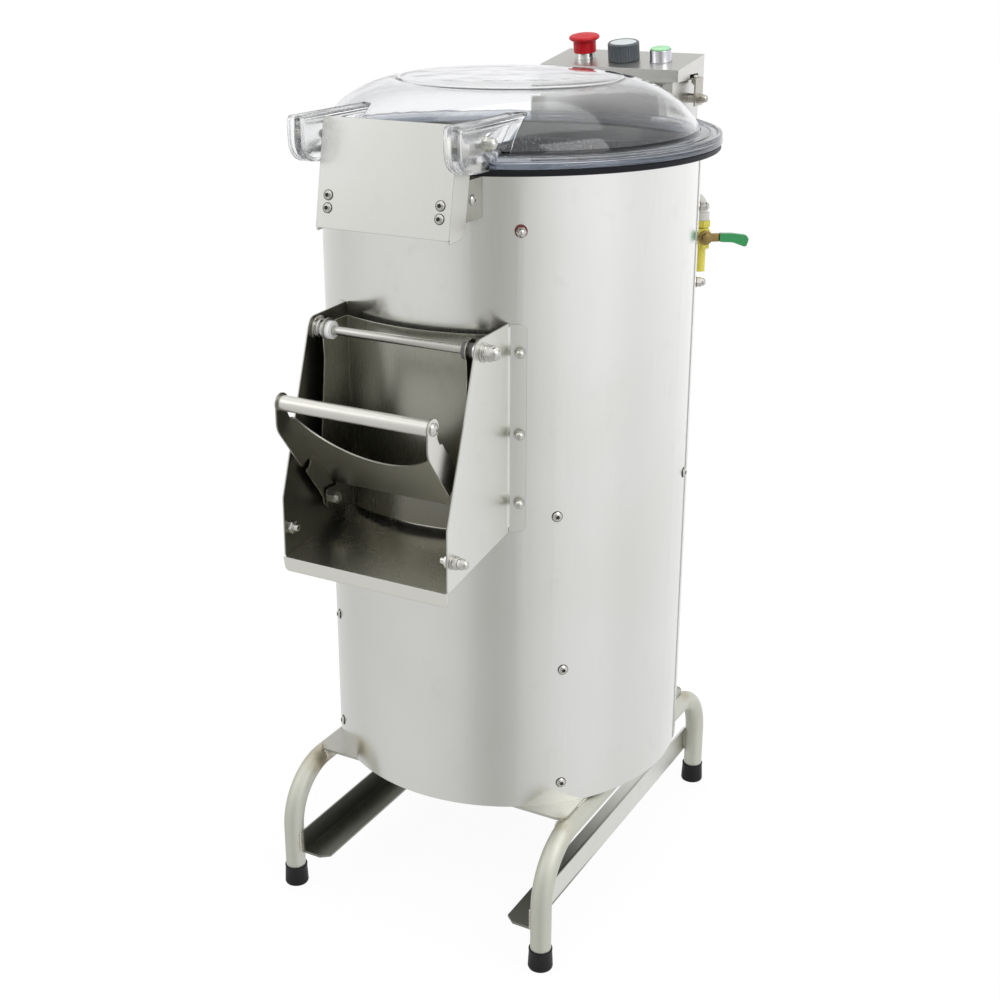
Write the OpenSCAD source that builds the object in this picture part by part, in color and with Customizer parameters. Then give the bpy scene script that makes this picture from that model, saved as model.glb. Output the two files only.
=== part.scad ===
// Electric potato peeler: an upright drum on a tubular stand, with an abrasive
// disc driven by a belt, a clear hinged lid and a front discharge chute.
// Millimetres. The drum's axis is the Z axis, the floor is z = 0, the chute
// faces -Y and the control box stands at +Y.

/* [Drum] */
// Outer radius of the drum skin
drum_r = 220; // [205:1:260]
// Height of the drum skin
drum_h = 752.5; // [700:0.5:860]
// Height of the drum's lower edge above the floor
drum_z = 167.5; // [150:0.5:220]
// Thickness of the drum sheet
skin_t = 1.5; // [1:0.1:2.5]
// Width of the turned-out rim at the top of the drum
rim_w = 19; // [14:1:24]
// Thickness of the abrasive lining
liner_t = 5; // [3:0.5:8]

/* [Chamber] */
// Height of the chamber floor above the drum's lower edge
floor_up = 302.5; // [280:0.5:330]
// Gap between the abrasive disc and the lining
disc_gap = 7.3; // [5:0.1:20]
// Thickness of the abrasive disc
disc_t = 12; // [8:1:16]
// Number of raised waves on the disc
disc_waves = 3; // [2:1:6]
// Radius of the rotor shaft
shaft_r = 12.5; // [10:0.5:15]

/* [Drive] */
// Distance from the rotor shaft to the motor shaft
drive_c = 145; // [142:1:150]
// Pitch radius of the large pulley
big_pr = 100; // [85:1:104]
// Pitch radius of the motor pulley
small_pr = 25; // [22:1:30]
// Radius of the motor body
motor_r = 61; // [50:1:63]
// Length of the motor body below its flange
motor_len = 150; // [110:1:160]

/* [Stand] */
// Radius of the bent leg tubes
tube_r = 12.5; // [10:0.5:15]
// Wall of the leg tubes
tube_t = 1.5; // [1:0.1:2.5]
// Distance of each leg tube inside the drum's side
leg_in = 44; // [25:1:50]
// Distance of the base plate's front edge inside the drum's front
plate_in = 33; // [25:1:45]
// Distance between the front and rear feet
leg_span = 478; // [440:1:540]
// Radius of the tube bends at their centre line
bend_r = 70; // [50:1:90]
// Height of a rubber foot cap
cap_h = 27; // [20:1:40]
// Width of each flange of the angle rails
rail_w = 33; // [25:1:40]
// Height of the rails' lower face
rail_z = 46; // [42:1:60]

/* [Chute] */
// Half width over the chute's side plates
chute_x = 104.5; // [95:0.5:115]
// Thickness of the chute's sheet
chute_t = 2; // [1.5:0.1:3]
// Reach of the chute's lower front corner from the drum's axis
chute_reach = 329; // [310:1:345]
// Height of the door's rod above the floor
rod_z = 742; // [725:1:755]
// Distance of the door's rod in front of the drum's skin
rod_out = 31; // [29:0.5:36]
// Radius of the door's rod
rod_r = 5; // [4:0.5:6]
// Half width of the discharge door
door_x = 90; // [84:0.5:92]
// Gap between the drum's skin and the door panel
door_gap = 10.5; // [8:0.5:12]
// Radius of the lever's handle tube
grip_r = 8.5; // [7:0.5:10]
// Distance from the lever's pins to its handle
lever_len = 154; // [135:1:165]
// Height of the latch studs above the floor
stud_z = 532; // [528:1:536]

/* [Lid] */
// Overhang of the lid's flange past the rim seal
lid_over = 1.5; // [0:0.5:8]
// Distance of the dome's foot inside the drum's skin
dome_in = 2; // [0:0.5:12]
// Rise of the dome above the flange
dome_rise = 58; // [40:1:80]
// Wall of the clear lid
lid_t = 4; // [3:0.5:5]
// Height of the lid's hinge axis above the drum's top
hinge_up = 33; // [30:0.5:40]
// Distance of the hinge axis in front of the drum's skin
hinge_out = 26; // [24:0.5:32]

/* [Control box] */
// Half width of the control panel
panel_x = 97.5; // [85:0.5:110]
// Depth of the control panel
panel_depth = 87.5; // [75:0.5:100]
// Distance from the drum's skin to the panel's front edge
panel_back = 45; // [45:1:55]
// Height of the panel's front edge above the drum's top
panel_up = 63; // [55:1:80]
// Rise of the panel from front to back
panel_rise = 14; // [5:1:25]
// Radius of the emergency stop's mushroom head
stop_r = 20.2; // [17:0.1:22]
// Radius of the timer knob
knob_r = 20.5; // [17:0.5:24]
// Radius of the start button's bezel
bezel_r = 13.8; // [12:0.1:15]

/* [Hidden] */
$fn = 64;
gap = 0.2;          // bolt clearance and other loose fits
run = 0.08;         // running fit of pins and shafts
apart = 0.4;        // space between pieces that move past each other

drum_top = drum_z + drum_h;
skin_in = drum_r - skin_t;
rim_r = skin_in + rim_w;
floor_z = drum_z + floor_up;
floor_t = 3;
disc_r = skin_in - gap - liner_t - disc_gap;
sheet = 1.5;       // general stainless sheet
skirt_in = skin_in - gap - sheet;

// Window in the drum that the door closes
win_x = door_x - 12;
win_z0 = disc_z() + disc_t + 10;
win_z1 = rod_z - 14;
function disc_z() = floor_z + 38;

// Rubber ring on the rim
seal_r = rim_r + 4.5;
seal_low = drum_top - 3;
seal_top = drum_top + 4;

// Screws in the skin: [azimuth from the front towards +X, height]
ring_screw_z = drum_z + 28.5;
shelf_screw_z = drum_z + 178.5;
floor_screw_z = drum_z + 370;
corner_az = [45, 135, -135, -45];
floor_az = [42.4, 100.5, 155, -155, -100.5, -48.3];
m6_r = 3;
m8_r = 4;
liner_bolts = [[31.2, drum_top - 62], [116, drum_top - 73], [116, drum_top - 163],
               [-116, drum_top - 73], [-116, drum_top - 163]];

// Shelf that carries the motor
shelf_z = shelf_screw_z + 6;
shelf_t = 4;

// Belt drive
pulley_z = shelf_z + shelf_t + 6;
pulley_h = 22;
belt_w = 10;
belt_h = 6;
belt_tip_w = 6.5;
belt_lean = asin((big_pr - small_pr) / drive_c);
motor_y = drive_c;
motor_shaft_r = 9.5;

// Stand
stand_y = -5;
tube_z = drum_z - 3 - tube_r - gap;
plate_t = 3;
leg_x = drum_r - leg_in;
plate_x = leg_x;
plate_y = drum_r - plate_in;

// Chute: outline of a side plate in the YZ plane
chute_in = chute_x - chute_t;
chute_back_y = -sqrt(pow(drum_r + sheet + gap, 2) - pow(chute_x, 2));
chute_front_top = [-(drum_r + 45), rod_z + 15];
chute_front_mid = [-(chute_reach - 1), rod_z - 173];
chute_front_low = [-chute_reach, rod_z - 243];
chute_low_back = [chute_back_y, rod_z - 220];
floor_slope = atan2(chute_low_back[1] - chute_front_low[1], chute_back_y + chute_reach);
flange_az0 = asin(chute_x / (drum_r + 1));
flange_az1 = flange_az0 + 4.9;
flange_bolt_az = flange_az0 + 2.9;
flange_bolt_z = [rod_z - 13.5, rod_z - 105, rod_z - 184.5];

// Door
rod_y = -(drum_r + rod_out);
door_in = drum_r + door_gap;
door_out = door_in + sheet;
door_edge_y = -sqrt(pow(door_out, 2) - pow(door_x, 2));
door_top = rod_z + 8;
door_low = rod_z - 216;
pin_y = rod_y - 5;
pin_z = rod_z - 193;
pin_r = 4;
arm_in = door_x + 2;
arm_t = 2;

// Latch studs and the lever that hooks on to them
stud_y = -(chute_reach - 11);
stud_r = 4;
stud_in = door_x + 1.2;
lever_tilt = 53.6;
hook_r = norm([stud_y - pin_y, stud_z - pin_z]);
stud_dip = atan2(pin_z - stud_z, pin_y - stud_y);
lever_drop = lever_tilt + stud_dip;
fold_v = 16;        // back face of the lever's web, from the pins' line
edge_v = -8;        // front edge of the lever's arms
grip_v = 14;

// Lid
lid_r = seal_r + lid_over;
dome_r = drum_r - dome_in;
lid_low = seal_top + apart;
lid_base = lid_low + 10;
plateau_r = dome_r - 83;
hinge_y = -(drum_r + hinge_out);
hinge_z = drum_top + hinge_up;
ear_in = 82.5;
ear_w = 20;
ear_t = 3;
ear_front = hinge_y - 47;
ear_low = lid_low;
ear_top = hinge_z + 21;

// Front hinge bracket
brk_x = 80.5;
brk_t = 2;
brk_tilt = 10.6;
brk_h = 114;
brk_top_y = hinge_y - 10;
brk_top_z = hinge_z + 18;
brk_depth = 29;

// Control box
panel_y0 = drum_r + panel_back;
panel_y1 = panel_y0 + panel_depth;
panel_z0 = drum_top + panel_up;
panel_tilt = atan2(panel_rise, panel_depth);
box_x = panel_x - 5.5;
box_y0 = lid_r + 4;
box_y1 = panel_y1 - 2 * sheet - gap - 0.1;
box_top = panel_z0 - 15;
box_side_y = sqrt(pow(lid_r + 3, 2) - pow(box_x, 2));
box_low = box_top - 366;
stop_x = -52;
knob_x = 4;
start_x = 56;

// Water valve, on a radius of the drum at this azimuth
valve_az = 128;
valve_out = 14;     // from the skin to the pipe's centre line
valve_z = drum_top - 116;
pipe_r = 6.5;
pipe_bore = 4.5;
elbow_r = 14;

// Drain stub
drain_r = 25;
drain_z = floor_z + drain_r + 3;
drain_len = 52;

// ---- helpers ----

// Places children with their +Z pointing out of the drum at an azimuth and height
module on_drum(az, z, r = drum_r) {
    rotate([0, 0, az]) translate([0, -r, z]) rotate([90, 0, 0]) children();
}

// Curved sheet between two radii, heights and azimuths
module arc_sheet(r0, r1, z0, z1, az0, az1) {
    rotate([0, 0, az0 - 90]) rotate_extrude(angle = az1 - az0, $fn = 180)
        translate([r0, z0]) square([r1 - r0, z1 - z0]);
}

module ring(r_out, r_in, h, fn = 64) {
    difference() {
        cylinder(r = r_out, h = h, $fn = fn);
        translate([0, 0, -1]) cylinder(r = r_in, h = h + 2, $fn = fn);
    }
}

// Extrudes an outline drawn in the YZ plane along +X from x
module yz_plate(x, t) {
    translate([x, 0, 0]) rotate([90, 0, 90]) linear_extrude(t) children();
}

// Both children at +X and their mirror image at -X
module both_sides() {
    children();
    mirror([1, 0, 0]) children();
}

// Points of a polygon with each corner rounded by its own radius
function corner(a, p, b, r) = r <= 0 ? [p] :
    let (u = (a - p) / norm(a - p), v = (b - p) / norm(b - p),
         half = acos(max(-1, min(1, u * v))) / 2,
         m = (u + v) / norm(u + v), c = p + m * (r / sin(half)),
         s = p + u * (r / tan(half)), e = p + v * (r / tan(half)),
         a0 = atan2(s[1] - c[1], s[0] - c[0]), a1 = atan2(e[1] - c[1], e[0] - c[0]),
         d = a1 - a0 > 180 ? a1 - a0 - 360 : a1 - a0 < -180 ? a1 - a0 + 360 : a1 - a0)
    [for (i = [0 : 5]) c + r * [cos(a0 + d * i / 5), sin(a0 + d * i / 5)]];
function rounded(pts, radii) = let (n = len(pts))
    [for (i = [0 : n - 1]) each corner(pts[(i + n - 1) % n], pts[i], pts[(i + 1) % n], radii[i])];

function bezier(a, b, c, d, n) = [for (i = [0 : n]) let (t = i / n, s = 1 - t)
    s * s * s * a + 3 * s * s * t * b + 3 * s * t * t * c + t * t * t * d];

// Screw with a domed button head and a hex socket; the head stands on z = 0
module button_screw(r, len, head_r, head_h = 3.4) {
    difference() {
        union() {
            intersection() {
                cylinder(r = head_r, h = head_h);
                translate([0, 0, head_h - head_r * 1.35]) sphere(r = head_r * 1.35);
            }
            translate([0, 0, -len]) cylinder(r = r, h = len + 0.5);
        }
        translate([0, 0, head_h - 2]) cylinder(r = r * 0.62, h = 3, $fn = 6);
    }
}

module hex_nut(af, h, bore) {
    difference() {
        cylinder(d = af / cos(30), h = h, $fn = 6);
        translate([0, 0, -1]) cylinder(r = bore, h = h + 2);
    }
}

// Domed cap nut on z = 0, blind from below
module cap_nut(af, bore, h) {
    difference() {
        union() {
            cylinder(d = af / cos(30), h = h * 0.5, $fn = 6);
            cylinder(r = af * 0.46, h = h - af * 0.3);
            intersection() {
                translate([0, 0, h - af * 0.5]) sphere(r = af * 0.5);
                translate([0, 0, h - af * 0.31]) cylinder(r = af * 0.46, h = af);
            }
        }
        translate([0, 0, -1]) cylinder(r = bore, h = h * 0.55 + 1);
    }
}

// ---- stand ----

module bent_tube(side) {
    x = side * leg_x;
    run_y = leg_span / 2 - bend_r;
    leg_top = tube_z - bend_r;
    for (end = [-1, 1]) translate([x, stand_y + end * leg_span / 2, 4 + gap])
        ring(tube_r, tube_r - tube_t, leg_top - 4 - gap);
    for (end = [-1, 1]) translate([x, stand_y + end * run_y, leg_top])
        rotate([90, 0, end * 90]) rotate_extrude(angle = 90, $fn = 96) translate([bend_r, 0])
            difference() {
                circle(r = tube_r);
                circle(r = tube_r - tube_t);
            }
    translate([x, stand_y - run_y, tube_z]) rotate([-90, 0, 0]) ring(tube_r, tube_r - tube_t, 2 * run_y);
}
module leg_tube_left() { color("silver") bent_tube(-1); }
module leg_tube_right() { color("silver") bent_tube(1); }

module foot_caps() {
    color("black")
    for (sx = [-1, 1]) for (sy = [-1, 1])
        translate([sx * leg_x, stand_y + sy * leg_span / 2, 0]) difference() {
            union() {
                translate([0, 0, 1]) cylinder(r = tube_r + 2.3, h = cap_h - 1);
                cylinder(r1 = tube_r + 1.3, r2 = tube_r + 2.3, h = 1);
            }
            translate([0, 0, 4]) cylinder(r = tube_r + gap / 2, h = cap_h);
        }
}

module angle_rails() {
    x1 = leg_x - tube_r - gap;
    half = leg_span / 2;
    color("dimgray")
    both_sides() {
        translate([x1 - 3, stand_y - half, rail_z]) cube([3, 2 * half, rail_w]);
        translate([0, stand_y, rail_z]) linear_extrude(3) polygon([[x1 - 3, -half], [x1 - rail_w + 8, -half],
            [x1 - rail_w - 3, -half + 9], [x1 - rail_w - 3, half - 9], [x1 - rail_w + 8, half], [x1 - 3, half]]);
    }
}

module base_plate() {
    color("silver")
    translate([0, 0, drum_z - plate_t]) difference() {
        linear_extrude(plate_t) polygon(rounded([[-plate_x, -plate_y], [plate_x, -plate_y],
            [plate_x, plate_y], [-plate_x, plate_y]], [14, 14, 14, 14]));
        translate([0, 20, -1]) cylinder(r = 130, h = plate_t + 2);
        for (az = corner_az) rotate([0, 0, az]) translate([0, -(skirt_in - 16), -1])
            cylinder(r = m8_r + gap, h = plate_t + 2);
    }
}

// Angle ring inside the drum's lower edge
module base_ring() {
    color("silver")
    difference() {
        translate([0, 0, drum_z + gap]) union() {
            ring(skirt_in + sheet, skirt_in, 40, 180);
            ring(skirt_in + sheet, skirt_in - 30, 2, 180);
        }
        for (az = corner_az) {
            on_drum(az, ring_screw_z, drum_r - 8) cylinder(r = m6_r + gap, h = 10);
            rotate([0, 0, az]) translate([0, -(skirt_in - 16), drum_z - 1]) cylinder(r = m8_r + gap, h = 6);
        }
    }
}

module base_bolts() {
    color("silver")
    for (az = corner_az) rotate([0, 0, az]) translate([0, -(skirt_in - 16), 0]) {
        translate([0, 0, drum_z + gap + 2]) button_screw(m8_r, 13, 7, 4.4);
        translate([0, 0, drum_z - plate_t - 6.7]) hex_nut(13, 6.5, m8_r + 0.05);
    }
}

// ---- drum ----

module drum_skin() {
    color("gainsboro")
    difference() {
        union() {
            translate([0, 0, drum_z]) ring(drum_r, skin_in, drum_h, 180);
            translate([0, 0, drum_top - skin_t]) ring(rim_r, skin_in, skin_t, 180);
            // lapped seam
            arc_sheet(drum_r - 0.2, drum_r + 0.8, drum_z, seal_low - 3, 104, 112);
        }
        translate([-win_x, -drum_r - 5, win_z0]) cube([2 * win_x, 60, win_z1 - win_z0]);
        skin_holes(drum_r - 10, 20);
        on_drum(valve_az, valve_z + 46, drum_r - 10) cylinder(r = pipe_r + gap, h = 20);
        on_drum(180, drain_z, drum_r - 10) cylinder(r = drain_r + gap, h = 20);
    }
}

// Every screw hole that goes through the skin
module skin_holes(r, h) {
    for (az = corner_az) for (z = [ring_screw_z, shelf_screw_z])
        on_drum(az, z, r) cylinder(r = m6_r + gap, h = h);
    for (az = floor_az) on_drum(az, floor_screw_z, r) cylinder(r = m6_r + gap, h = h);
    for (b = liner_bolts) on_drum(b[0], b[1], r) cylinder(r = m6_r + gap, h = h);
    for (s = [-1, 1]) {
        for (z = flange_bolt_z) on_drum(s * flange_bolt_az, z, r) cylinder(r = m6_r + gap, h = h);
        on_drum(s * angle_az(), angle_bolt_z(), r) cylinder(r = m6_r + gap, h = h);
    }
    for (z = mount_z()) on_drum(180, z, r) cylinder(r = m6_r + gap, h = h);
}
function angle_az() = asin((brk_x - 18) / drum_r);
function angle_bolt_z() = drum_top - 22;
function mount_z() = [box_low + 60, box_top - 90];

module rim_seal() {
    color([0.08, 0.08, 0.09])
    rotate_extrude($fn = 180) polygon([
        [skin_in - 2, drum_top + gap], [skin_in - 2, seal_top - 1], [skin_in - 1, seal_top],
        [seal_r - 1.5, seal_top], [seal_r, seal_top - 1.5], [seal_r, seal_low + 1], [seal_r - 1, seal_low],
        [rim_r - 9, seal_low], [rim_r - 9, drum_top - skin_t - gap],
        [rim_r + gap, drum_top - skin_t - gap], [rim_r + gap, drum_top + gap]]);
}

liner_out = skin_in - gap;
liner_z0 = floor_screw_z + 12;
liner_z1 = drum_top - 20;
module chamber_liner() {
    color([0.32, 0.33, 0.34])
    difference() {
        translate([0, 0, liner_z0]) ring(liner_out, liner_out - liner_t, liner_z1 - liner_z0, 180);
        translate([-win_x, -drum_r, win_z0 - 10]) cube([2 * win_x, 60, win_z1 - win_z0 + 10]);
        for (b = liner_bolts) on_drum(b[0], b[1], drum_r - 15) {
            cylinder(r = m6_r + gap, h = 20);
            cylinder(r = 6.2, h = 10.5);
        }
        for (s = [-1, 1]) {
            for (z = flange_bolt_z) on_drum(s * flange_bolt_az, z, drum_r - 15) cylinder(r = 7.2, h = 20);
            on_drum(s * angle_az(), angle_bolt_z(), drum_r - 15) cylinder(r = 7.2, h = 20);
        }
        for (z = mount_z()) on_drum(180, z, drum_r - 15) cylinder(r = 7.2, h = 20);
        on_drum(valve_az, valve_z + 46, drum_r - 15) cylinder(r = pipe_r + 1, h = 20);
    }
}

// Flat-headed bolts from inside the chamber with cap nuts outside
module liner_bolts() {
    color("silver")
    for (b = liner_bolts) on_drum(b[0], b[1], drum_r) {
        translate([0, 0, -7]) cylinder(r = 6, h = 2.3);
        translate([0, 0, -5]) cylinder(r = m6_r, h = 11);
        translate([0, 0, 2 + gap / 2]) cap_nut(10, m6_r + 0.05, 11);
    }
}

module seal_washers() {
    color([0.42, 0.12, 0.10])
    for (b = liner_bolts) on_drum(b[0], b[1], drum_r) difference() {
        cylinder(r = 6.8, h = 2);
        translate([0, 0, -1]) cylinder(r = m6_r + gap, h = 4);
        rotate([-90, 0, 0]) translate([0, drum_r, -20]) cylinder(r = drum_r, h = 40, $fn = 180);
    }
}

module skin_screws() {
    color("silver") {
        for (az = corner_az) for (z = [ring_screw_z, shelf_screw_z]) wall_screw(az, z);
        for (az = floor_az) wall_screw(az, floor_screw_z);
    }
}
// Button-head screw through the skin and a skirt behind it, with its nut
module wall_screw(az, z) {
    on_drum(az, z, drum_r) {
        translate([0, 0, gap / 2]) button_screw(m6_r, 12, 5.6);
        translate([0, 0, -(drum_r - skirt_in) - gap - 5]) hex_nut(10, 5, m6_r + 0.05);
    }
}

// ---- chamber floor and rotor ----

module chamber_floor() {
    color("silver")
    difference() {
        union() {
            translate([0, 0, floor_z - floor_t]) ring(skirt_in + sheet, 28, floor_t, 180);
            translate([0, 0, floor_z - floor_t]) ring(skirt_in + sheet, skirt_in, liner_z0 - floor_z + floor_t - gap, 180);
            translate([0, 0, floor_z]) ring(33, 28, 6);
        }
        translate([-win_x, -drum_r, win_z0]) cube([2 * win_x, 60, 100]);
        for (az = floor_az) on_drum(az, floor_screw_z, drum_r - 8) cylinder(r = m6_r + gap, h = 10);
        for (s = [-1, 1]) on_drum(s * flange_bolt_az, flange_bolt_z[2], drum_r - 15)
            cylinder(r = 7.2, h = 20);
        on_drum(180, drain_z, drum_r - 10) cylinder(r = drain_r + gap, h = 20);
        for (a = [45 : 90 : 315]) rotate([0, 0, a]) translate([56, 0, floor_z - 10])
            cylinder(r = m8_r + gap, h = 20);
    }
}

module drain_stub() {
    color("silver")
    on_drum(180, drain_z, drum_r) difference() {
        union() {
            translate([0, 0, -3]) cylinder(r = drain_r, h = drain_len + 3);
            // weld collar against the skin
            difference() {
                translate([0, 0, -3]) cylinder(r1 = drain_r + 5, r2 = drain_r + 2, h = 6);
                translate([0, -60, -drum_r]) rotate([-90, 0, 0]) cylinder(r = drum_r + gap, h = 120, $fn = 180);
            }
        }
        translate([0, 0, -5]) cylinder(r = drain_r - 1.5, h = drain_len + 10);
    }
}

house_r = 36;
house_h = floor_z - floor_t - (pulley_z + pulley_h + 3);
bear_r = 26;
bear_h = 15;
bear_z = [floor_z - floor_t - 22, floor_z - floor_t - house_h + 2];
module bearing_housing() {
    color("gray")
    difference() {
        union() {
            translate([0, 0, floor_z - floor_t - 9]) cylinder(r = 70, h = 9 - gap / 2);
            translate([0, 0, floor_z - floor_t - house_h]) cylinder(r = house_r, h = house_h - 2);
            for (a = [0 : 90 : 270]) rotate([0, 0, a]) translate([house_r - 2, -3, floor_z - floor_t - 50])
                cube([26, 6, 42]);
        }
        translate([0, 0, floor_z - 200]) cylinder(r = bear_r + 0.02, h = 220);
        for (a = [45 : 90 : 315]) rotate([0, 0, a]) translate([56, 0, floor_z - 20])
            cylinder(r = m8_r + gap, h = 20);
    }
    color("silver")
    for (a = [45 : 90 : 315]) rotate([0, 0, a]) translate([56, 0, 0]) {
        translate([0, 0, floor_z + gap / 2]) button_screw(m8_r, 20, 7, 4.4);
        translate([0, 0, floor_z - floor_t - 9 - 6.5 - gap]) hex_nut(13, 6.5, m8_r + 0.05);
    }
}

module bearings() {
    color("lightgray")
    for (z = bear_z) translate([0, 0, z]) {
        difference() {
            ring(bear_r, shaft_r + run, bear_h);
            for (h = [-1, bear_h - 1.5]) translate([0, 0, h])
                ring(bear_r - 4, shaft_r + 4, 2.5);
        }
    }
}

module shaft_seal() {
    color("black")
    translate([0, 0, floor_z - floor_t - 6]) difference() {
        cylinder(r = bear_r - 0.05, h = 14);
        translate([0, 0, -1]) cylinder(r = shaft_r + run, h = 20);
    }
}

shaft_low = pulley_z - 4;
module rotor_shaft() {
    color("silver")
    translate([0, 0, shaft_low]) {
        cylinder(r = shaft_r, h = disc_z() + disc_t + 3 - shaft_low);
        cylinder(r = 8, h = disc_z() + disc_t + 16 - shaft_low);
    }
}

module abrasive_disc() {
    hub = 24;
    color([0.30, 0.30, 0.31])
    difference() {
        union() {
            translate([0, 0, disc_z()]) cylinder(r = disc_r, h = disc_t, $fn = 180);
            translate([0, 0, disc_z() - hub]) cylinder(r = 30, h = hub + 1);
            // raised waves that toss the load
            for (i = [0 : disc_waves - 1]) rotate([0, 0, i * 360 / disc_waves])
                translate([45, 0, disc_z() + disc_t - 17]) rotate([0, 90, 0]) intersection() {
                    cylinder(r = 24, h = disc_r - 55);
                    translate([-40, -30, 0]) cube([40, 60, disc_r - 55]);
                }
        }
        translate([0, 0, disc_z() - hub - 1]) cylinder(r = shaft_r + 0.05, h = 100);
    }
}

module disc_nut() {
    color("silver")
    translate([0, 0, disc_z() + disc_t + gap / 2]) difference() {
        union() {
            cylinder(r = 24, h = 3);
            translate([0, 0, 3]) cap_nut(28, 8.05, 24);
        }
        translate([0, 0, -1]) cylinder(r = shaft_r + 0.1, h = 4);
        translate([0, 0, 1]) cylinder(r = 8.05, h = 15.5);
    }
}

// ---- belt drive ----

// Section of the belt, widest at its outer side; grow makes the groove round it
module belt_section(pr, grow = 0) {
    polygon([[pr - belt_h / 2 - grow, -belt_tip_w / 2 - grow], [pr - belt_h / 2 - grow, belt_tip_w / 2 + grow],
        [pr + belt_h / 2 + grow * 8, belt_w / 2 + grow * 2.2], [pr + belt_h / 2 + grow * 8, -belt_w / 2 - grow * 2.2]]);
}

module pulley(pr, bore) {
    difference() {
        cylinder(r = pr + belt_h / 2 + 0.8, h = pulley_h, $fn = 120);
        translate([0, 0, pulley_h / 2]) rotate_extrude($fn = 120) belt_section(pr, apart);
        translate([0, 0, -1]) cylinder(r = bore + 0.05, h = pulley_h + 2);
    }
}

module driven_pulley() {
    color("darkgray")
    translate([0, 0, pulley_z]) difference() {
        pulley(big_pr, shaft_r);
        for (s = [-1, pulley_h - 7]) translate([0, 0, s]) ring(big_pr - 16, 32, 8);
        for (a = [0 : 60 : 300]) rotate([0, 0, a]) translate([57, 0, -1]) cylinder(r = 16, h = pulley_h + 2);
    }
}

module motor_pulley() {
    color("darkgray")
    translate([0, motor_y, pulley_z]) pulley(small_pr, motor_shaft_r);
}

module drive_belt() {
    wrap = 90 + belt_lean;
    strand = drive_c * cos(belt_lean);
    color([0.1, 0.1, 0.1])
    translate([0, 0, pulley_z + pulley_h / 2]) {
        rotate([0, 0, -90 - wrap]) rotate_extrude(angle = 2 * wrap, $fn = 120) belt_section(big_pr);
        translate([0, motor_y, 0]) rotate([0, 0, belt_lean])
            rotate_extrude(angle = 180 - 2 * belt_lean, $fn = 96) belt_section(small_pr);
        for (s = [0, 1]) mirror([s, 0, 0]) rotate([0, 0, belt_lean])
            rotate([-90, 0, 0]) linear_extrude(strand) belt_section(big_pr);
    }
}

module motor_shelf() {
    color("silver")
    difference() {
        union() {
            translate([0, 0, shelf_z]) cylinder(r = skirt_in + sheet, h = shelf_t, $fn = 180);
            translate([0, 0, shelf_z - 18]) ring(skirt_in + sheet, skirt_in, 19, 180);
        }
        translate([0, motor_y, shelf_z - 1]) cylinder(r = 40, h = 10);
        for (a = [45 : 90 : 315]) translate([0, motor_y, shelf_z - 1]) rotate([0, 0, a])
            translate([50, 0, 0]) cylinder(r = m8_r + gap, h = 10);
        for (az = corner_az) on_drum(az, shelf_screw_z, drum_r - 8) cylinder(r = m6_r + gap, h = 10);
        translate([0, -95, shelf_z - 1]) cylinder(r = 55, h = 10);
    }
}

module motor() {
    top = shelf_z - gap / 2;
    color([0.25, 0.30, 0.36])
    translate([0, motor_y, 0]) difference() {
        union() {
            translate([0, 0, top - 9]) cylinder(r = motor_r + 1, h = 9);
            translate([0, 0, top - motor_len]) cylinder(r = motor_r - 6, h = motor_len - 2);
            for (i = [0 : 23]) rotate([0, 0, i * 15]) translate([motor_r - 8, -1.25, top - motor_len + 34])
                cube([8, 2.5, motor_len - 46]);
            translate([0, 0, top - motor_len]) cylinder(r = motor_r, h = 30);
            translate([-32, -motor_r - 26, top - 100]) cube([64, 40, 62]);
        }
        translate([0, 0, top - 60]) cylinder(r = motor_shaft_r + run, h = 80);
        for (a = [45 : 90 : 315]) rotate([0, 0, a]) translate([50, 0, top - 30]) cylinder(r = m8_r + 0.05, h = 40);
    }
    color("silver")
    for (a = [45 : 90 : 315]) translate([0, motor_y, shelf_z + shelf_t + gap / 2]) rotate([0, 0, a])
        translate([50, 0, 0]) button_screw(m8_r, 22, 7, 4.4);
}

module motor_shaft() {
    color("silver")
    translate([0, motor_y, shelf_z - 58]) cylinder(r = motor_shaft_r, h = pulley_z + pulley_h - shelf_z + 60);
}

// ---- chute ----

function chute_outline() = rounded([chute_low_back, chute_front_low, chute_front_mid, chute_front_top,
    [chute_back_y, rod_z + 18]], [0, 3, 14, 12, 0]);

module chute_side() {
    color("lightgray")
    difference() {
        union() {
            yz_plate(chute_in, chute_t) polygon(chute_outline());
            difference() {
                arc_sheet(drum_r + gap, drum_r + gap + sheet, chute_low_back[1], rod_z + 17, flange_az0, flange_az1);
                for (c = [[rod_z + 17, -1], [chute_low_back[1], 1]]) on_drum(flange_az1, c[0]) difference() {
                    translate([-8, c[1] > 0 ? -1 : -8, -4]) cube([10, 9, 12]);
                    translate([-8, c[1] * 8, -5]) cylinder(r = 8, h = 14);
                }
            }
            // fold between plate and flange
            translate([0, 0, chute_low_back[1] + 6]) linear_extrude(rod_z + 9 - chute_low_back[1])
                polygon([[chute_in, chute_back_y - 3], [chute_x, chute_back_y - 3],
                    [chute_x + 1.5, chute_back_y + 1.6], [chute_in, chute_back_y + 1.8]]);
        }
        for (z = flange_bolt_z) on_drum(flange_bolt_az, z, drum_r - 2) cylinder(r = m6_r + gap, h = 10);
        yz_plate(chute_in - 1, 6) {
            translate([rod_y, rod_z]) circle(r = rod_r + gap);
            translate([stud_y, stud_z]) circle(r = stud_r + gap);
        }
        translate([0, 0, drum_z]) cylinder(r = drum_r + gap, h = drum_h, $fn = 180);
    }
}
module chute_side_right() { chute_side(); }
module chute_side_left() { mirror([1, 0, 0]) chute_side(); }

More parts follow.
